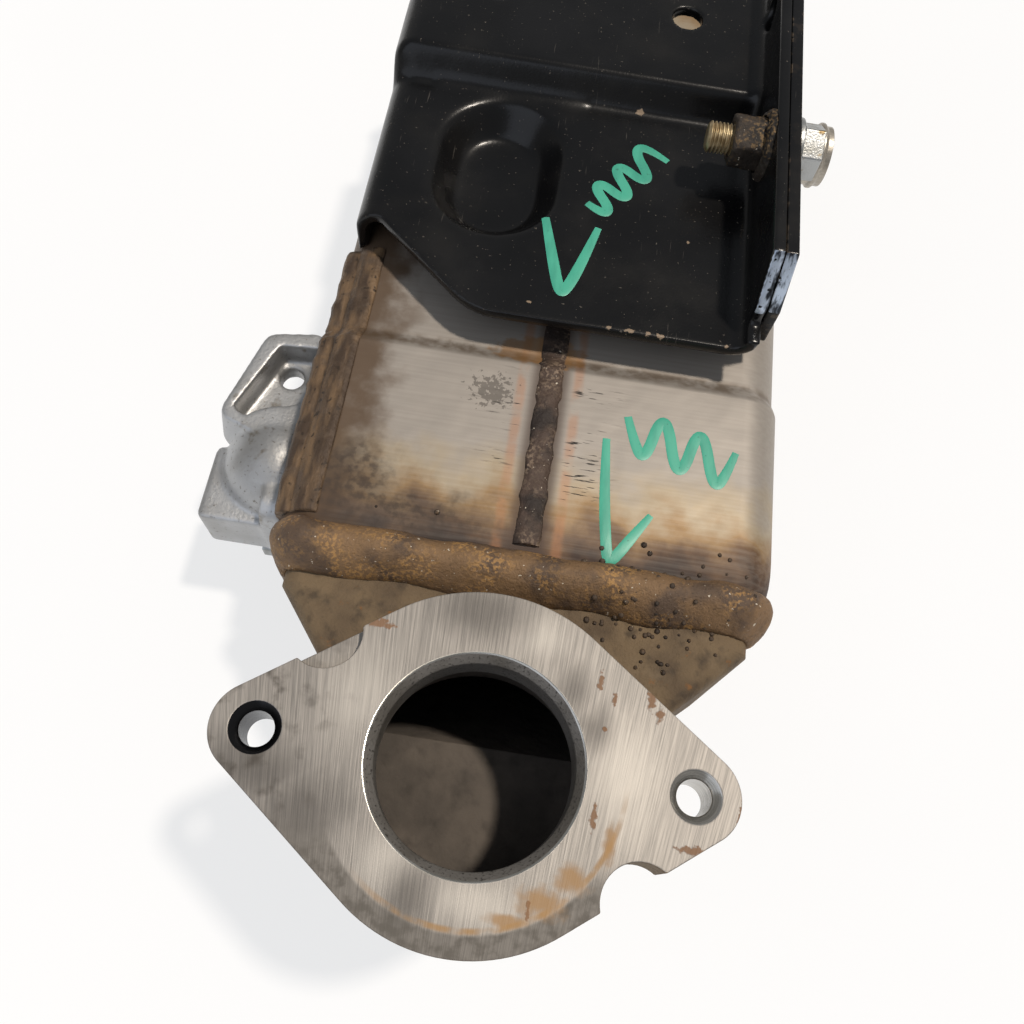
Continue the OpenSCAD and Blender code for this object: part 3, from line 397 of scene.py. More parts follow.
colour = over(tree, sum_of(tree, "MULTIPLY", seam_dark, 0.75), colour, tint("4b3b31"))
off_line = sum_of(tree, "ABSOLUTE", sum_of(tree, "SUBTRACT", from_seam, 9 * mm), 0.0)
seam_line = sum_of(tree, "MULTIPLY", ramp_to_one(tree, off_line, 2.4 * mm, 0.6 * mm),
                   placed(tree, patches, Scale=140.0, Low=0.3, High=0.6))
colour = over(tree, sum_of(tree, "MULTIPLY", seam_line, 0.45), colour, tint("a8744f"))
# Painted shade: a darker, patchy band along the crease of the step at Y 134.5 mm.
from_step = sum_of(tree, "ABSOLUTE", sum_of(tree, "SUBTRACT", north, 134.5 * mm), 0.0)
step_shade = sum_of(tree, "MULTIPLY", ramp_to_one(tree, from_step, 4.5 * mm, 1.0 * mm),
                   placed(tree, patches, Scale=260.0, Low=0.3, High=0.65))
colour = over(tree, sum_of(tree, "MULTIPLY", step_shade, 0.7), colour, tint("5d4c39"))
rusty = spots(tree, ((0, 137, -32, 16, 6.5, 12),), scale=220.0)
colour = over(tree, sum_of(tree, "MULTIPLY", rusty, 0.6), colour, tint("8c6431"))
soot = spots(tree, ((-50, 80, -33, 17, 14, 14), (-32, 73, -31, 22, 8, 10)), scale=130.0, ragged=1.8, edge=0.7)
mottle = placed(tree, patches, Scale=420.0, Low=0.36, High=0.66, Detail=6.0)
colour = over(tree, sum_of(tree, "MULTIPLY", soot, between(tree, mottle, 0.45, 0.85)), colour, tint("372c24"))
hatch = placed(tree, patches, Scale=1.0, Stretch=(150.0, 1500.0, 150.0), Low=0.6, High=0.67, Detail=2.0)
beside = sum_of(tree, "MULTIPLY", ramp_to_one(tree, from_seam, 28 * mm, 14 * mm),
                ramp_to_one(tree, from_seam, 6 * mm, 10 * mm))
rows = placed(tree, patches, Scale=1.0, Stretch=(25.0, 70.0, 25.0), Low=0.42, High=0.6)
hatch = sum_of(tree, "MULTIPLY", sum_of(tree, "MULTIPLY", hatch, beside), rows)
hatch = sum_of(tree, "MULTIPLY", hatch, ramp_to_one(tree, north, 132 * mm, 122 * mm))
colour = over(tree, hatch, colour, tint("191512"))
dots = spots(tree, ((39.8, 74.2, -31, 1.1, 1.1, 6), (41.8, 71.9, -32, 0.9, 0.9, 6),
                    (65.8, 73.7, -33, 0.8, 0.8, 6), (62.7, 74.8, -33, 0.8, 0.8, 6),
                    (-22.8, 74.2, -31, 0.9, 0.9, 6), (8, 78.6, -30, 0.9, 0.9, 6)), ragged=0.6)
colour = over(tree, dots, colour, tint("16120f"))
scuff = spots(tree, ((-13, 119, -30, 5.5, 4.5, 8),), ragged=5.0, scale=750.0)
colour = over(tree, sum_of(tree, "MULTIPLY", scuff, 0.55), colour, tint("2f2923"))
tree.links.new(colour, shader.inputs["Base Color"])
dirty = sum_of(tree, "MAXIMUM", sum_of(tree, "MAXIMUM", soot, seam_dark),
               ramp_to_one(tree, from_near, 20 * mm, 0.0))
tree.links.new(between(tree, dirty, 0.5, 0.68), shader.inputs["Roughness"])
tree.links.new(between(tree, dirty, 0.4, 0.15), shader.inputs["Metallic"])
relief(tree, shader, (placed(tree, patches, Scale=60.0, Low=0.2, High=0.8, Detail=2.0), 0.2), (rolled, 0.003),
       (sum_of(tree, "MAXIMUM", hatch, dots), 0.04))

shell = solid_of("shell")
piece(shell, "shell_sheet", (tinted_sheet,), "shell", crease=50)


# Core: headers, flat tubes, folded fins and supports of thin stainless sheet, brazed in the shell.
# The hot gas has left them grey-brown, with soot on the front faces.
core_sheet, tree, shader = new_finish("core_sheet", 0.7, 0.48)
colour = over(tree, placed(tree, patches, Scale=180.0, Low=0.4, High=0.65), tint("8d867c"), tint("6e655a"))
colour = over(tree, placed(tree, patches, Scale=60.0, Low=0.5, High=0.7, Detail=6.0), colour, tint("3c342d"))
tree.links.new(colour, shader.inputs["Base Color"])
relief(tree, shader, (placed(tree, patches, Scale=900.0, Low=0.3, High=0.7), 0.04))
for name in ("front_header", "far_header", "gas_tubes", "tube_fins", "tube_supports"):
    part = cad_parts[name]
    part.data.materials.clear()
    part.data.materials.append(core_sheet)


# Inlet weld: a broad bead laid by hand where the elbow's rim meets the shell.
# It is brown scaled steel with golden flecks and dark patches, fat at its left end.
def roughen(bm, *layers):
    """Moves each point along its normal by layers of noise: (height in mm, size in mm, shift)."""
    bm.normal_update()
    for v in bm.verts:
        push = sum(height * noise.noise(v.co / (size * mm) + Vector((shift, shift, shift)))
                   for height, size, shift in layers)
        v.co += v.normal * push * mm


def weld_finish(name, base, fleck, patch, share):
    """Scaled weld metal with flecks and patches."""
    made, tree, shader = new_finish(name, 0.25, 0.66)
    colour = over(tree, placed(tree, patches, Scale=75.0, Low=0.44, High=0.6, Detail=8.0),
                  tint(base), tint(patch))
    flakes = placed(tree, patches, Scale=900.0, Low=0.48 - share, High=0.68 - share, Detail=6.0)
    golden = sum_of(tree, "MULTIPLY", flakes,
                    placed(tree, patches, Scale=85.0, Low=0.42, High=0.66, Detail=6.0))
    colour = over(tree, golden, colour, tint(fleck))
    pits = placed(tree, patches, Scale=900.0, Low=0.54, High=0.76, Detail=6.0)
    colour = over(tree, sum_of(tree, "MULTIPLY", pits, 0.6), colour, tint("2f261d"))
    colour = over(tree, placed(tree, patches, Scale=800.0, Low=0.7, High=0.74, Detail=2.0),
                  colour, tint("c9bfae"))
    tree.links.new(colour, shader.inputs["Base Color"])
    relief(tree, shader, (placed(tree, patches, Scale=330.0, Detail=8.0, Low=0.2, High=0.8), 0.25),
           (placed(tree, patches, Scale=1500.0, Low=0.3, High=0.7), 0.08))
    return made


brown_weld = weld_finish("brown_weld", "7b6145", "b68d56", "59483a", 0.03)
bead = solid_of("inlet_weld")
bmesh.ops.subdivide_edges(bead, edges=bead.edges[:], cuts=2, use_grid_fill=True, smooth=0.4)
bulb = Vector((-65, 58.7, -34)) * mm
bulb_reach = 11 * mm
bulb_swell = 1.6
rim_y = 62 * mm
rim_z = -78 * mm
for v in bead.verts:
    outward = (v.co - Vector((v.co.x, rim_y, rim_z))).normalized()
    v.co += outward * bulb_swell * mm * math.exp(-((v.co - bulb).length / bulb_reach) ** 2)
roughen(bead, (0.6, 16, 3), (0.2, 5.0, 7), (0.1, 1.6, 11))
piece(bead, "inlet_weld_bead", (brown_weld,), "inlet_weld", crease=80, even=False)


# Spatter: drops of weld metal that froze on the elbow's shoulder and on the shell beside the bead.
# They are small dark balls, half sunk in what they hit.
def surface_of(*names):
    """Something to drop points onto, made of CAD nodes."""
    shape = bmesh.new()
    for name in names:
        shape.from_mesh(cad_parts[name].data)
    return BVHTree.FromBMesh(shape)


dark_weld = weld_finish("dark_weld", "4d4034", "6e5436", "332a23", 0.0)
drop_places = ((26.9, 55.7), (36, 55.6), (40.4, 47.5), (47.8, 41.1), (50.8, 40.7), (30.5, 50.6),
               (43.2, 43.4), (45.7, 48.4), (53.5, 50.2), (34.1, 52.4), (56.2, 46.5), (39.8, 74.2),
               (41.8, 71.9), (65.8, 73.7), (62.7, 74.8), (-22.8, 74.2), (58, 70.5), (27.4, 71.2),
               (-41, 73.1), (49.6, 53.2))
below = surface_of("inlet_elbow", "shell", "inlet_weld")
chance = random.Random(5)
drop_places += tuple((chance.gauss(43, 10), chance.gauss(52, 6)) for _ in range(46))
drop_places += tuple((chance.uniform(20, 74), chance.gauss(66, 3)) for _ in range(16))
drops = bmesh.new()
for x, y in drop_places:
    hit = below.ray_cast(Vector((x * mm, y * mm, 20 * mm)), Vector((0, 0, -1)))[0]
    size = chance.uniform(0.4, 0.95) * mm
    made = bmesh.ops.create_icosphere(drops, subdivisions=2, radius=size)
    bmesh.ops.scale(drops, vec=(1, chance.uniform(0.8, 1.2), 0.75), verts=made["verts"])
    bmesh.ops.translate(drops, vec=hit + Vector((0, 0, 0.15 * size)), verts=made["verts"])
piece(drops, "weld_spatter", (dark_weld,), even=False)


# Long welds of the shell: a dark machine-laid bead along the top and a ridged brown band on the corner.
# Both are stainless weld metal, uneven along their length.
seam_weld = weld_finish("seam_weld", "4d3e35", "96826e", "2c2420", 0.03)
seam = solid_of("top_seam_weld")
bmesh.ops.subdivide_edges(seam, edges=seam.edges[:], cuts=2, use_grid_fill=True)
roughen(seam, (0.35, 2.6, 21), (0.18, 1.1, 25))
piece(seam, "top_seam_bead", (seam_weld,), "top_seam_weld", crease=80, even=False)

corner = solid_of("corner_seam_weld")
bmesh.ops.subdivide_edges(corner, edges=corner.edges[:], cuts=2, use_grid_fill=True)
roughen(corner, (0.3, 9, 31), (0.15, 3.0, 35))
streaked_weld, tree, shader = new_finish("streaked_weld", 0.25, 0.62)
streaks = placed(tree, patches, Scale=1.0, Stretch=(260.0, 60.0, 260.0), Low=0.36, High=0.62, Detail=6.0)
colour = over(tree, streaks, tint("745d44"), tint("453629"))
colour = over(tree, placed(tree, patches, Scale=120.0, Low=0.5, High=0.66, Detail=7.0),
              colour, tint("59493a"))
colour = over(tree, placed(tree, patches, Scale=420.0, Low=0.6, High=0.7, Detail=5.0),
              colour, tint("33271b"))
tree.links.new(colour, shader.inputs["Base Color"])
relief(tree, shader, (streaks, 0.25),
       (placed(tree, patches, Scale=500.0, Low=0.2, High=0.8, Detail=7.0), 0.2))
piece(corner, "corner_seam_bead", (streaked_weld,), "corner_seam_weld", crease=80, even=False)


# Coolant inlet: a stainless pad welded to the shell, a gasket and a bolted aluminium casting.
# The casting has a smooth dome, a square block and a lug with a hole.
plain_sheet, tree, shader = new_finish("plain_sheet", 0.75, 0.4)
rolled = placed(tree, patches, Scale=1.0, Stretch=(40.0, 800.0, 800.0), Low=0.3, High=0.7)
colour = over(tree, rolled, tint("a19b91"), tint("b4ada2"))
colour = over(tree, placed(tree, patches, Scale=60.0, Low=0.52, High=0.7, Detail=6.0),
              colour, tint("7d7060"))
tree.links.new(colour, shader.inputs["Base Color"])
relief(tree, shader, (rolled, 0.01), (placed(tree, patches, Scale=500.0, Low=0.3, High=0.7), 0.03))
pad = solid_of("coolant_pad")
break_edges(pad, 0.5)
piece(pad, "coolant_pad_plate", (plain_sheet,), "coolant_pad")

moulded_rubber, tree, shader = new_finish("moulded_rubber", 0.0, 0.7)
colour = over(tree, placed(tree, patches, Scale=300.0, Low=0.4, High=0.65), tint("262626"), tint("3a3835"))
tree.links.new(colour, shader.inputs["Base Color"])
relief(tree, shader, (placed(tree, patches, Scale=1500.0, Low=0.3, High=0.7), 0.05))
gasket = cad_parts["coolant_gasket"]
gasket.data.materials.clear()
gasket.data.materials.append(moulded_rubber)


def cast_form(name, voxel, rounds):
    """A CAD node's shape with the soft inner corners of a casting."""
    rough = bpy.data.objects.new(name + "_form", bpy.data.meshes.new(name + "_form"))
    shape = solid_of(name)
    shape.to_mesh(rough.data)
    shape.free()
    scene.collection.objects.link(rough)
    remesh = rough.modifiers.new("voxels", "REMESH")
    remesh.mode = "VOXEL"
    remesh.voxel_size = voxel * mm
    shaped = bpy.data.meshes.new_from_object(rough.evaluated_get(bpy.context.evaluated_depsgraph_get()))
    bm = bmesh.new()
    bm.from_mesh(shaped)
    bpy.data.objects.remove(rough)
    for _ in range(rounds):
        bmesh.ops.smooth_vert(bm, verts=bm.verts, factor=0.5,
                              use_axis_x=True, use_axis_y=True, use_axis_z=True)
    return bm


cast_aluminium, tree, shader = new_finish("cast_aluminium", 0.8, 0.46)
colour = over(tree, placed(tree, patches, Scale=45.0, Low=0.35, High=0.7, Detail=5.0),
              tint("b3b4b5"), tint("9d9c9a"))
colour = over(tree, placed(tree, patches, Scale=700.0, Low=0.6, High=0.72), colour, tint("85827d"))
colour = over(tree, placed(tree, patches, Scale=110.0, Low=0.62, High=0.74, Detail=6.0),
              colour, tint("7a7265"))
tree.links.new(colour, shader.inputs["Base Color"])
relief(tree, shader, (placed(tree, patches, Scale=900.0, Detail=5.0, Low=0.2, High=0.8), 0.06))
housing = cast_form("coolant_housing", 0.8, 5)
piece(housing, "coolant_casting", (cast_aluminium,), "coolant_housing",
      crease=60, even=False)

zinc_plate, tree, shader = new_finish("zinc_plate", 0.85, 0.38)
colour = over(tree, placed(tree, patches, Scale=160.0, Low=0.4, High=0.66, Detail=5.0),
              tint("aeb0b0"), tint("8f8f8b"))
colour = over(tree, placed(tree, patches, Scale=300.0, Low=0.58, High=0.7, Detail=5.0),
              colour, tint("7c6a4c"))
tree.links.new(colour, shader.inputs["Base Color"])
relief(tree, shader, (placed(tree, patches, Scale=1400.0, Low=0.3, High=0.7), 0.03))
bolts = solid_of("housing_bolts")
break_edges(bolts, 0.3)
piece(bolts, "housing_bolt_pair", (zinc_plate,), "housing_bolts")


# Coolant outlet: a stainless hose pipe with a rolled bead, welded into the shell's right side.
# The weld is a plain fillet, ground nowhere.
pipe = solid_of("outlet_pipe")
break_edges(pipe, 0.3, over=25)
piece(pipe, "hose_pipe", (plain_sheet,), "outlet_pipe")
fillet = solid_of("outlet_pipe_weld")
bmesh.ops.subdivide_edges(fillet, edges=fillet.edges[:], cuts=2, use_grid_fill=True)
roughen(fillet, (0.4, 3.0, 41), (0.2, 1.2, 45))
piece(fillet, "hose_pipe_weld", (seam_weld,), "outlet_pipe_weld", crease=80, even=False)


# Far end: a pressed stainless tank that narrows to a round neck, and a plain two-hole steel flange.
# The tank is welded to the shell all round, and the flange is welded to the neck behind.
tank_sheet, tree, shader = new_finish("tank_sheet", 0.7, 0.42)
north = axis_of(tree, "Y")
from_shell = sum_of(tree, "SUBTRACT", north, 335 * mm)
from_flange = sum_of(tree, "SUBTRACT", 384 * mm, north)
colour = heat_colours(tree, sum_of(tree, "MINIMUM", from_shell, from_flange))
drawn = placed(tree, patches, Scale=1.0, Stretch=(500.0, 40.0, 500.0), Low=0.3, High=0.7)
colour = over(tree, sum_of(tree, "MULTIPLY", drawn, 0.2), colour, tint("d6cfc4"))
tree.links.new(colour, shader.inputs["Base Color"])
relief(tree, shader, (drawn, 0.015), (placed(tree, patches, Scale=80.0, Low=0.2, High=0.8), 0.15))
tank = solid_of("outlet_tank")
break_edges(tank, 0.8, steps=3)
piece(tank, "far_tank", (tank_sheet,), "outlet_tank")

far_bead = solid_of("outlet_weld")
bmesh.ops.subdivide_edges(far_bead, edges=far_bead.edges[:], cuts=2, use_grid_fill=True)
roughen(far_bead, (0.6, 7, 51), (0.35, 2.8, 55), (0.15, 1.2, 57))
piece(far_bead, "far_tank_weld", (brown_weld,), "outlet_weld", crease=80, even=False)

far_flange = solid_of("outlet_flange")
break_edges(far_flange, 0.6)
for face in far_flange.faces:
    if face.normal.y > 0.95:
        face.material_index = 1
turned_face, tree, shader = new_finish("turned_face", 0.85, 0.36)
lines = placed(tree, patches, Scale=1.0, Stretch=(2600.0, 0.0, 60.0), Detail=3.0,
               Low=0.3, High=0.72, Warp=0.4)
colour = over(tree, lines, tint("908c86"), tint("b5b0a9"))
colour = over(tree, placed(tree, patches, Scale=120.0, Low=0.62, High=0.72, Detail=6.0),
              colour, tint("8a5f34"))
tree.links.new(colour, shader.inputs["Base Color"])
relief(tree, shader, (lines, 0.012))
piece(far_flange, "far_flange_plate", (cast_skin, turned_face), "outlet_flange")

ring = solid_of("outlet_flange_weld")
bmesh.ops.subdivide_edges(ring, edges=ring.edges[:], cuts=2, use_grid_fill=True)
roughen(ring, (0.5, 4.0, 61), (0.25, 1.6, 65))
piece(ring, "far_flange_weld", (brown_weld,), "outlet_flange_weld", crease=80, even=False)


# Bracket: one folded steel sheet, coated satin black, with a cut corner, a pressed dimple and a step.
# Its dimple stands on the shell. The coating is dusty, scuffed and chipped along its near edge, and the worn
# near edges of its right side carry a painted blue sky reflection.
black_coat, tree, shader = new_finish("black_coat", 0.0, 0.3)
shader.inputs["Specular IOR Level"].default_value = 0.3
colour = over(tree, placed(tree, patches, Scale=26.0, Low=0.4, High=0.7, Detail=5.0),
              tint("0b0b0c"), tint("131314"))
dust = placed(tree, patches, Scale=40.0, Low=0.45, High=0.8, Detail=8.0)
specks = placed(tree, patches, Scale=900.0, Low=0.7, High=0.75, Detail=2.0)
colour = over(tree, sum_of(tree, "MULTIPLY", dust, 0.015), colour, tint("8d8373"))
colour = over(tree, sum_of(tree, "MULTIPLY", specks, 0.3), colour, tint("8a8277"))
standing = node(tree, "Attribute", {}, attribute_name="standing").outputs["Fac"]
rubbed = sum_of(tree, "MULTIPLY", ramp_to_one(tree, standing, 0.16, 0.3),
                placed(tree, patches, Scale=260.0, Low=0.5, High=0.62, Detail=5.0))
colour = over(tree, sum_of(tree, "MULTIPLY", rubbed, 0.7), colour, tint("7d6c59"))
scrapes = placed(tree, patches, Scale=1.0, Stretch=(900.0, 60.0, 60.0), Low=0.68, High=0.74, Detail=2.0)
scrapes = sum_of(tree, "MULTIPLY", scrapes, placed(tree, patches, Scale=30.0, Low=0.5, High=0.6))
colour = over(tree, sum_of(tree, "MULTIPLY", scrapes, 0.25), colour, tint("77716a"))
chips = spots(tree, ((22.3, 234.7, -15, 1.5, 0.9, 8), (43.3, 180.2, -18, 0.5, 0.6, 4),
                     (20, 141, -19, 1.1, 0.7, 4), (27, 141, -19, 1.8, 0.7, 4),
                     (33, 141, -19, 0.9, 0.7, 4), (37, 141, -19, 1.3, 0.7, 4),
                     (-6, 146, -18, 0.8, 0.5, 4), (58, 141, -16, 0.9, 0.6, 4)), ragged=2.6, scale=900.0)
colour = over(tree, sum_of(tree, "MULTIPLY", chips, 0.8), colour, tint("96836e"))
tree.links.new(colour, shader.inputs["Base Color"])
tree.links.new(between(tree, dust, 0.24, 0.36), shader.inputs["Roughness"])
relief(tree, shader, (placed(tree, patches, Scale=45.0, Low=0.2, High=0.8, Detail=2.0), 0.15),
       (placed(tree, patches, Scale=1100.0, Low=0.3, High=0.7, Detail=3.0), 0.012))

# Painted reflection: the light blue streaks stand in for the sky mirrored in the worn near edges; the darker
# tones are the bare metal.
worn_edge_and_sky_sheen, tree, shader = new_finish("worn_edge_and_sky_sheen", 0.7, 0.3)
streaks = placed(tree, patches, Scale=1.0, Stretch=(500.0, 250.0, 120.0), Low=0.45, High=0.6, Detail=5.0)
colour = over(tree, streaks, tint("b9c6d8"), tint("2b2f36"))
colour = over(tree, placed(tree, patches, Scale=500.0, Low=0.6, High=0.68), colour, tint("15161a"))
tree.links.new(colour, shader.inputs["Base Color"])
relief(tree, shader, (streaks, 0.03))


upright_x = 63
worn_sheen_from_y = 147
worn_sheen_to_y = 158
worn_sheen_above_z = -9


def wear_and_sheen_near_end(bm):
    """Marks the slanted and upright near edges of the bracket's right side as worn to bare metal with a
    painted sky reflection.
    """
    for face in bm.faces:
        middle = face.calc_center_median() / mm
        at_edge = worn_sheen_from_y < middle.y < worn_sheen_to_y and middle.z > worn_sheen_above_z
        if face.normal.y < -0.5 and middle.x > upright_x and at_edge:
            face.material_index = 1


def mark_edges(bm):
    """Stores how far each point stands out from its neighbours, for wear along the edges."""
    bm.normal_update()
    standing = bm.verts.layers.float.new("standing")
    for v in bm.verts:
        slopes = [v.normal.dot((e.other_vert(v).co - v.co).normalized()) for e in v.link_edges]
        v[standing] = -sum(slopes) / len(slopes)


dimple_x = -24 * mm
dimple_y = 201 * mm
dimple_half_width = 28 * mm
dimple_half_length = 36 * mm
dimple_rounds = 30
bracket = cast_form("bracket", 0.9, 3)
dimple = [v for v in bracket.verts
          if abs(v.co.x - dimple_x) < dimple_half_width and abs(v.co.y - dimple_y) < dimple_half_length]
for _ in range(dimple_rounds):
    bmesh.ops.smooth_vert(bracket, verts=dimple, factor=0.5,
                          use_axis_x=True, use_axis_y=True, use_axis_z=True)
mark_edges(bracket)
wear_and_sheen_near_end(bracket)
piece(bracket, "bracket_sheet", (black_coat, worn_edge_and_sky_sheen), "bracket", crease=75, even=False)

outer_plate = solid_of("bracket_outer_plate")
break_edges(outer_plate, 0.6)
mark_edges(outer_plate)
wear_and_sheen_near_end(outer_plate)
piece(outer_plate, "bracket_second_plate", (black_coat, worn_edge_and_sky_sheen), "bracket_outer_plate")


# Clamp bolt and weld nut: a zinc-plated bolt through both plates into a nut welded to the inner one.
# The nut and its weld are crusted with scale, and the bolt's threaded tip stands out of the nut.
crusted_steel = weld_finish("crusted_steel", "362e27", "9a7c52", "1f1a16", 0.0)
nut = solid_of("weld_nut")
break_edges(nut, 1.2, steps=3)
bmesh.ops.triangulate(nut, faces=nut.faces[:])
bmesh.ops.subdivide_edges(nut, edges=nut.edges[:], cuts=3, use_grid_fill=True)
roughen(nut, (0.5, 4.0, 81), (0.25, 1.6, 85))
piece(nut, "clamp_nut", (crusted_steel,), "weld_nut", crease=70, even=False)

crust = solid_of("nut_weld")
bmesh.ops.subdivide_edges(crust, edges=crust.edges[:], cuts=2, use_grid_fill=True)
roughen(crust, (0.7, 3.5, 71), (0.3, 1.3, 75))
piece(crust, "clamp_nut_weld", (crusted_steel,), "nut_weld", crease=80, even=False)

bolt_axis = Vector((0, 211, -1.6)) * mm
bolt = solid_of("clamp_bolt")
cut_at = Vector((54 * mm, 0, 0))
bmesh.ops.bisect_plane(bolt, geom=bolt.verts[:] + bolt.edges[:] + bolt.faces[:], plane_co=cut_at,
                       plane_no=(1, 0, 0), clear_inner=True)
break_edges(bolt, 0.5)
thread = bmesh.new()
tip_x = 43.5
tip_r = 4.0
crest_r = 4.95
root_r = 4.2
pitch = 1.25
thread_end = 54.5
profile = [(tip_x, 0.0), (tip_x, tip_r)]
turn = 44.3
while turn < thread_end:
    profile += [(turn, crest_r), (turn + 0.3, crest_r), (turn + 0.75, root_r), (turn + 0.95, root_r)]
    turn += pitch
corners = [thread.verts.new(bolt_axis + Vector((x, 0, r)) * mm) for x, r in profile]
outline = [thread.edges.new(pair) for pair in zip(corners, corners[1:])]
bmesh.ops.spin(thread, geom=corners + outline, cent=bolt_axis, axis=(1, 0, 0), angle=math.tau, steps=40,
               use_merge=True)
bmesh.ops.remove_doubles(thread, verts=thread.verts, dist=0.001 * mm)
bmesh.ops.recalc_face_normals(thread, faces=thread.faces)
zinc_thread, tree, shader = new_finish("zinc_thread", 0.6, 0.45)
colour = over(tree, placed(tree, patches, Scale=260.0, Low=0.4, High=0.6, Detail=5.0),
              tint("b7a684"), tint("8a7655"))
tree.links.new(colour, shader.inputs["Base Color"])
relief(tree, shader, (placed(tree, patches, Scale=1500.0, Low=0.3, High=0.7), 0.04))
piece(bolt, "clamp_bolt_head", (zinc_plate,), "clamp_bolt")
piece(thread, "clamp_bolt_thread", (zinc_thread,), crease=30, even=False)


# Paint marks: a stores tick and a wavy line in green paint pen, once on the shell and once on the bracket.
# Each stroke is a thin low film with round edges that lies on the sheet.
pen_paint, tree, shader = new_finish("pen_paint", 0.0, 0.42)
thin = placed(tree, patches, Scale=1.0, Stretch=(260.0, 60.0, 260.0), Low=0.4, High=0.66, Detail=4.0)
colour = over(tree, thin, tint("46a98e"), tint("3c9a82"))
colour = over(tree, placed(tree, patches, Scale=700.0, Low=0.68, High=0.74), colour, tint("2f7a68"))
tree.links.new(colour, shader.inputs["Base Color"])
relief(tree, shader, (thin, 0.03))


paint_lift = 0.06 * mm
paint_flatness = 0.08


def stroke(name, carrier, width, points):
    """One pen stroke through points (x, y) in mm, laid on a CAD node seen from above."""
    line = bpy.data.curves.new(name + "_line", "CURVE")
    line.dimensions = "3D"
    line.bevel_depth = width / 2 * mm
    line.bevel_resolution = 3
    line.resolution_u = 8
    line.use_fill_caps = True
    path = line.splines.new("NURBS")
    path.points.add(len(points) - 1)
    path.order_u = 3
    path.use_endpoint_u = True
    for point, (x, y) in zip(path.points, points):
        point.co = (x * mm, y * mm, 0, 1)
    path.points[0].radius = 0.7
    path.points[-1].radius = 0.6
    drawn = bpy.data.objects.new(name + "_line", line)
    scene.collection.objects.link(drawn)
    film = bmesh.new()
    film.from_mesh(drawn.evaluated_get(bpy.context.evaluated_depsgraph_get()).to_mesh())
    bpy.data.objects.remove(drawn)
    below = surface_of(carrier)
    for v in film.verts:
        hit = below.ray_cast(Vector((v.co.x, v.co.y, 30 * mm)), Vector((0, 0, -1)))[0]
        v.co.z = hit.z + paint_lift + paint_flatness * v.co.z
    piece(film, name, (pen_paint,), even=False)


stroke("shell_tick", "shell", 3.4, ((25, 108), (26, 90), (29, 68), (31, 68), (36, 76), (41, 84)))
stroke("shell_wave", "shell", 3.6, ((31, 117), (35, 104), (38, 104), (41, 117), (44, 117), (47, 101),
                                    (50, 101), (53, 114), (56, 114), (59, 98), (62, 98), (66, 110)))
stroke("bracket_tick", "bracket", 3.8, ((-5, 181), (-1, 166), (3, 152), (5, 152), (9, 164), (13, 180)))
stroke("bracket_wave", "bracket", 3.6, ((8, 190), (14, 186), (16, 189), (10, 197), (12, 200),
                                        (20, 194), (22, 197), (16, 206), (18, 209), (26, 203),
                                        (28, 206), (22, 216), (25, 220), (34, 214)))


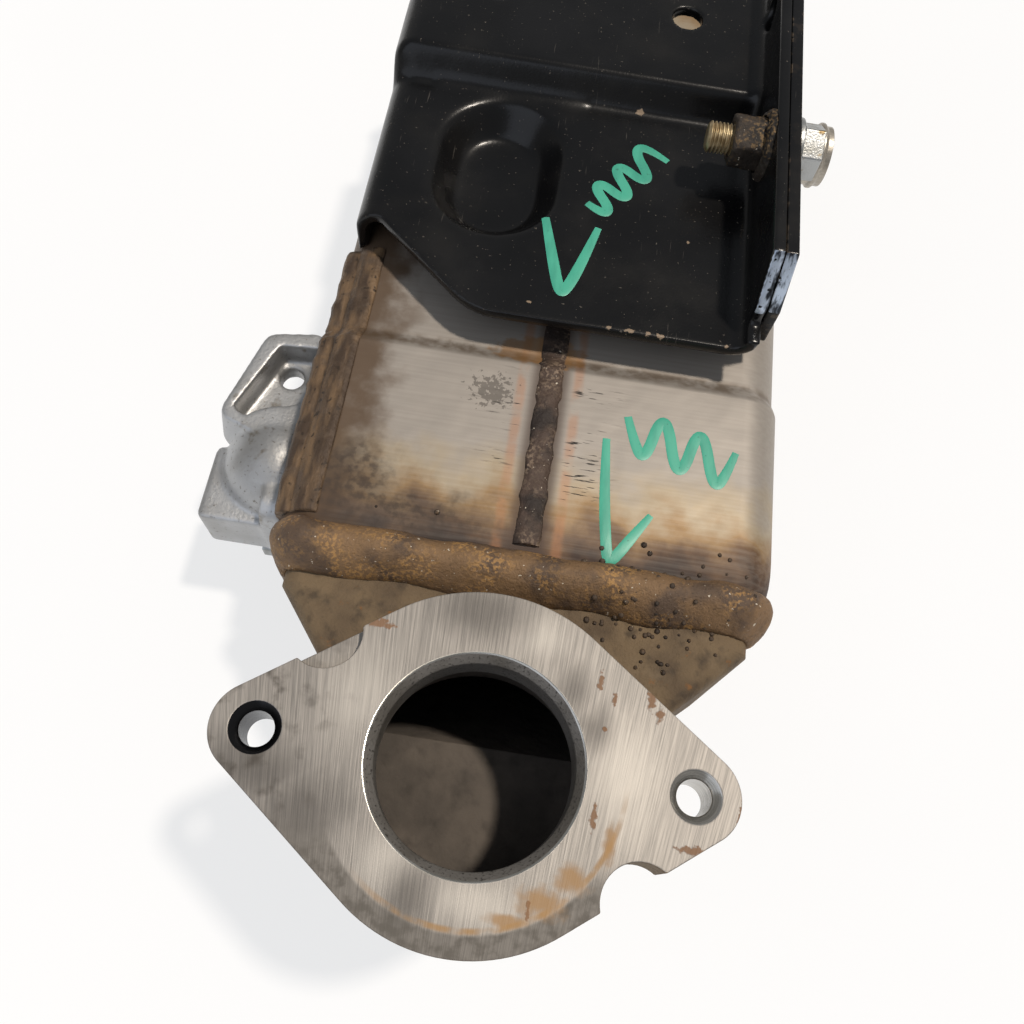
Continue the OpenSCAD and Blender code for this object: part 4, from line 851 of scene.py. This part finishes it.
# Studio: a pale floor under the part, one sun-like key lamp, a soft fill and a pale sky.
# The camera stands above the flange and looks down along the cooler, as in the photo.
floor_paint, tree, shader = new_finish("floor_paint", 0.0, 0.9)
colour = over(tree, placed(tree, patches, Scale=3.0, Low=0.3, High=0.7), tint("f2f2f2"), tint("ececec"))
tree.links.new(colour, shader.inputs["Base Color"])
seen = node(tree, "LightPath", {}).outputs
glow = node(tree, "Emission", {"Color": tint("ffffff"), "Strength": 1.0}).outputs[0]
bright = sum_of(tree, "MULTIPLY", sum_of(tree, "MAXIMUM", seen["Is Camera Ray"], seen["Is Glossy Ray"]), 0.72)
blend = node(tree, "MixShader", {0: bright, 1: shader.outputs[0], 2: glow}).outputs[0]
tree.links.new(blend, tree.nodes["Material Output"].inputs["Surface"])
ground = bmesh.new()
bmesh.ops.create_grid(ground, x_segments=1, y_segments=1, size=4.0,
                      matrix=Matrix.Translation((0, 0.2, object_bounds()[0].z - 0.2 * mm)))
floor_mesh = bpy.data.meshes.new("floor")
ground.to_mesh(floor_mesh)
ground.free()
floor_mesh.materials.append(floor_paint)
floor = bpy.data.objects.new("floor", floor_mesh)
scene.collection.objects.link(floor)

world = bpy.data.worlds.new("studio_sky")
scene.world = world
world.use_nodes = True
tree = world.node_tree
up = node(tree, "SeparateXYZ", {0: node(tree, "TexCoord", {}).outputs["Generated"]}).outputs["Z"]
sky = over(tree, ramp_to_one(tree, up, -0.1, 0.9), tint("e6e3df"), tint("d2d8e0"))
tree.links.new(sky, tree.nodes["Background"].inputs["Color"])
tree.nodes["Background"].inputs["Strength"].default_value = 0.4


lamps_aim = Vector((0, 0.12, -0.05))
lamps_away = 1.2


def lamp(name, kind, towards, energy, colour, **settings):
    """A lamp in a direction from the part, shining at its near half."""
    data = bpy.data.lights.new(name, kind)
    data.energy = energy
    data.color = tint(colour)[:3]
    for key, value in settings.items():
        setattr(data, key, value)
    made = bpy.data.objects.new(name, data)
    direction = Vector(towards).normalized()
    made.matrix_world = (Matrix.Translation(lamps_aim + direction * lamps_away)
                         @ direction.to_track_quat("Z", "Y").to_matrix().to_4x4())
    scene.collection.objects.link(made)


lamp("key_sun", "SUN", (0.34, 0.155, 1.0), 2.6, "fff4e6", angle=math.radians(4))
lamp("soft_fill", "AREA", (-0.5, -0.6, 0.7), 4.0, "e8f0ff", size=1.2)

camera_data = bpy.data.cameras.new("photo_camera")
camera_data.sensor_width = 36.0
camera_data.lens = 31.64
camera_data.clip_start = 0.01
camera = bpy.data.objects.new("photo_camera", camera_data)
look = Vector((0, 0.404, -0.914)).normalized()
side = Vector((0.988, 0.143, 0.063))
side = (side - look * side.dot(look)).normalized()
rise = side.cross(look)
camera.matrix_world = Matrix.Translation(Vector((-0.7, -31.2, 217.2)) * mm) @ Matrix(
    (side, rise, -look)).transposed().to_4x4()
scene.collection.objects.link(camera)
scene.camera = camera
scene.view_settings.view_transform = "Standard"
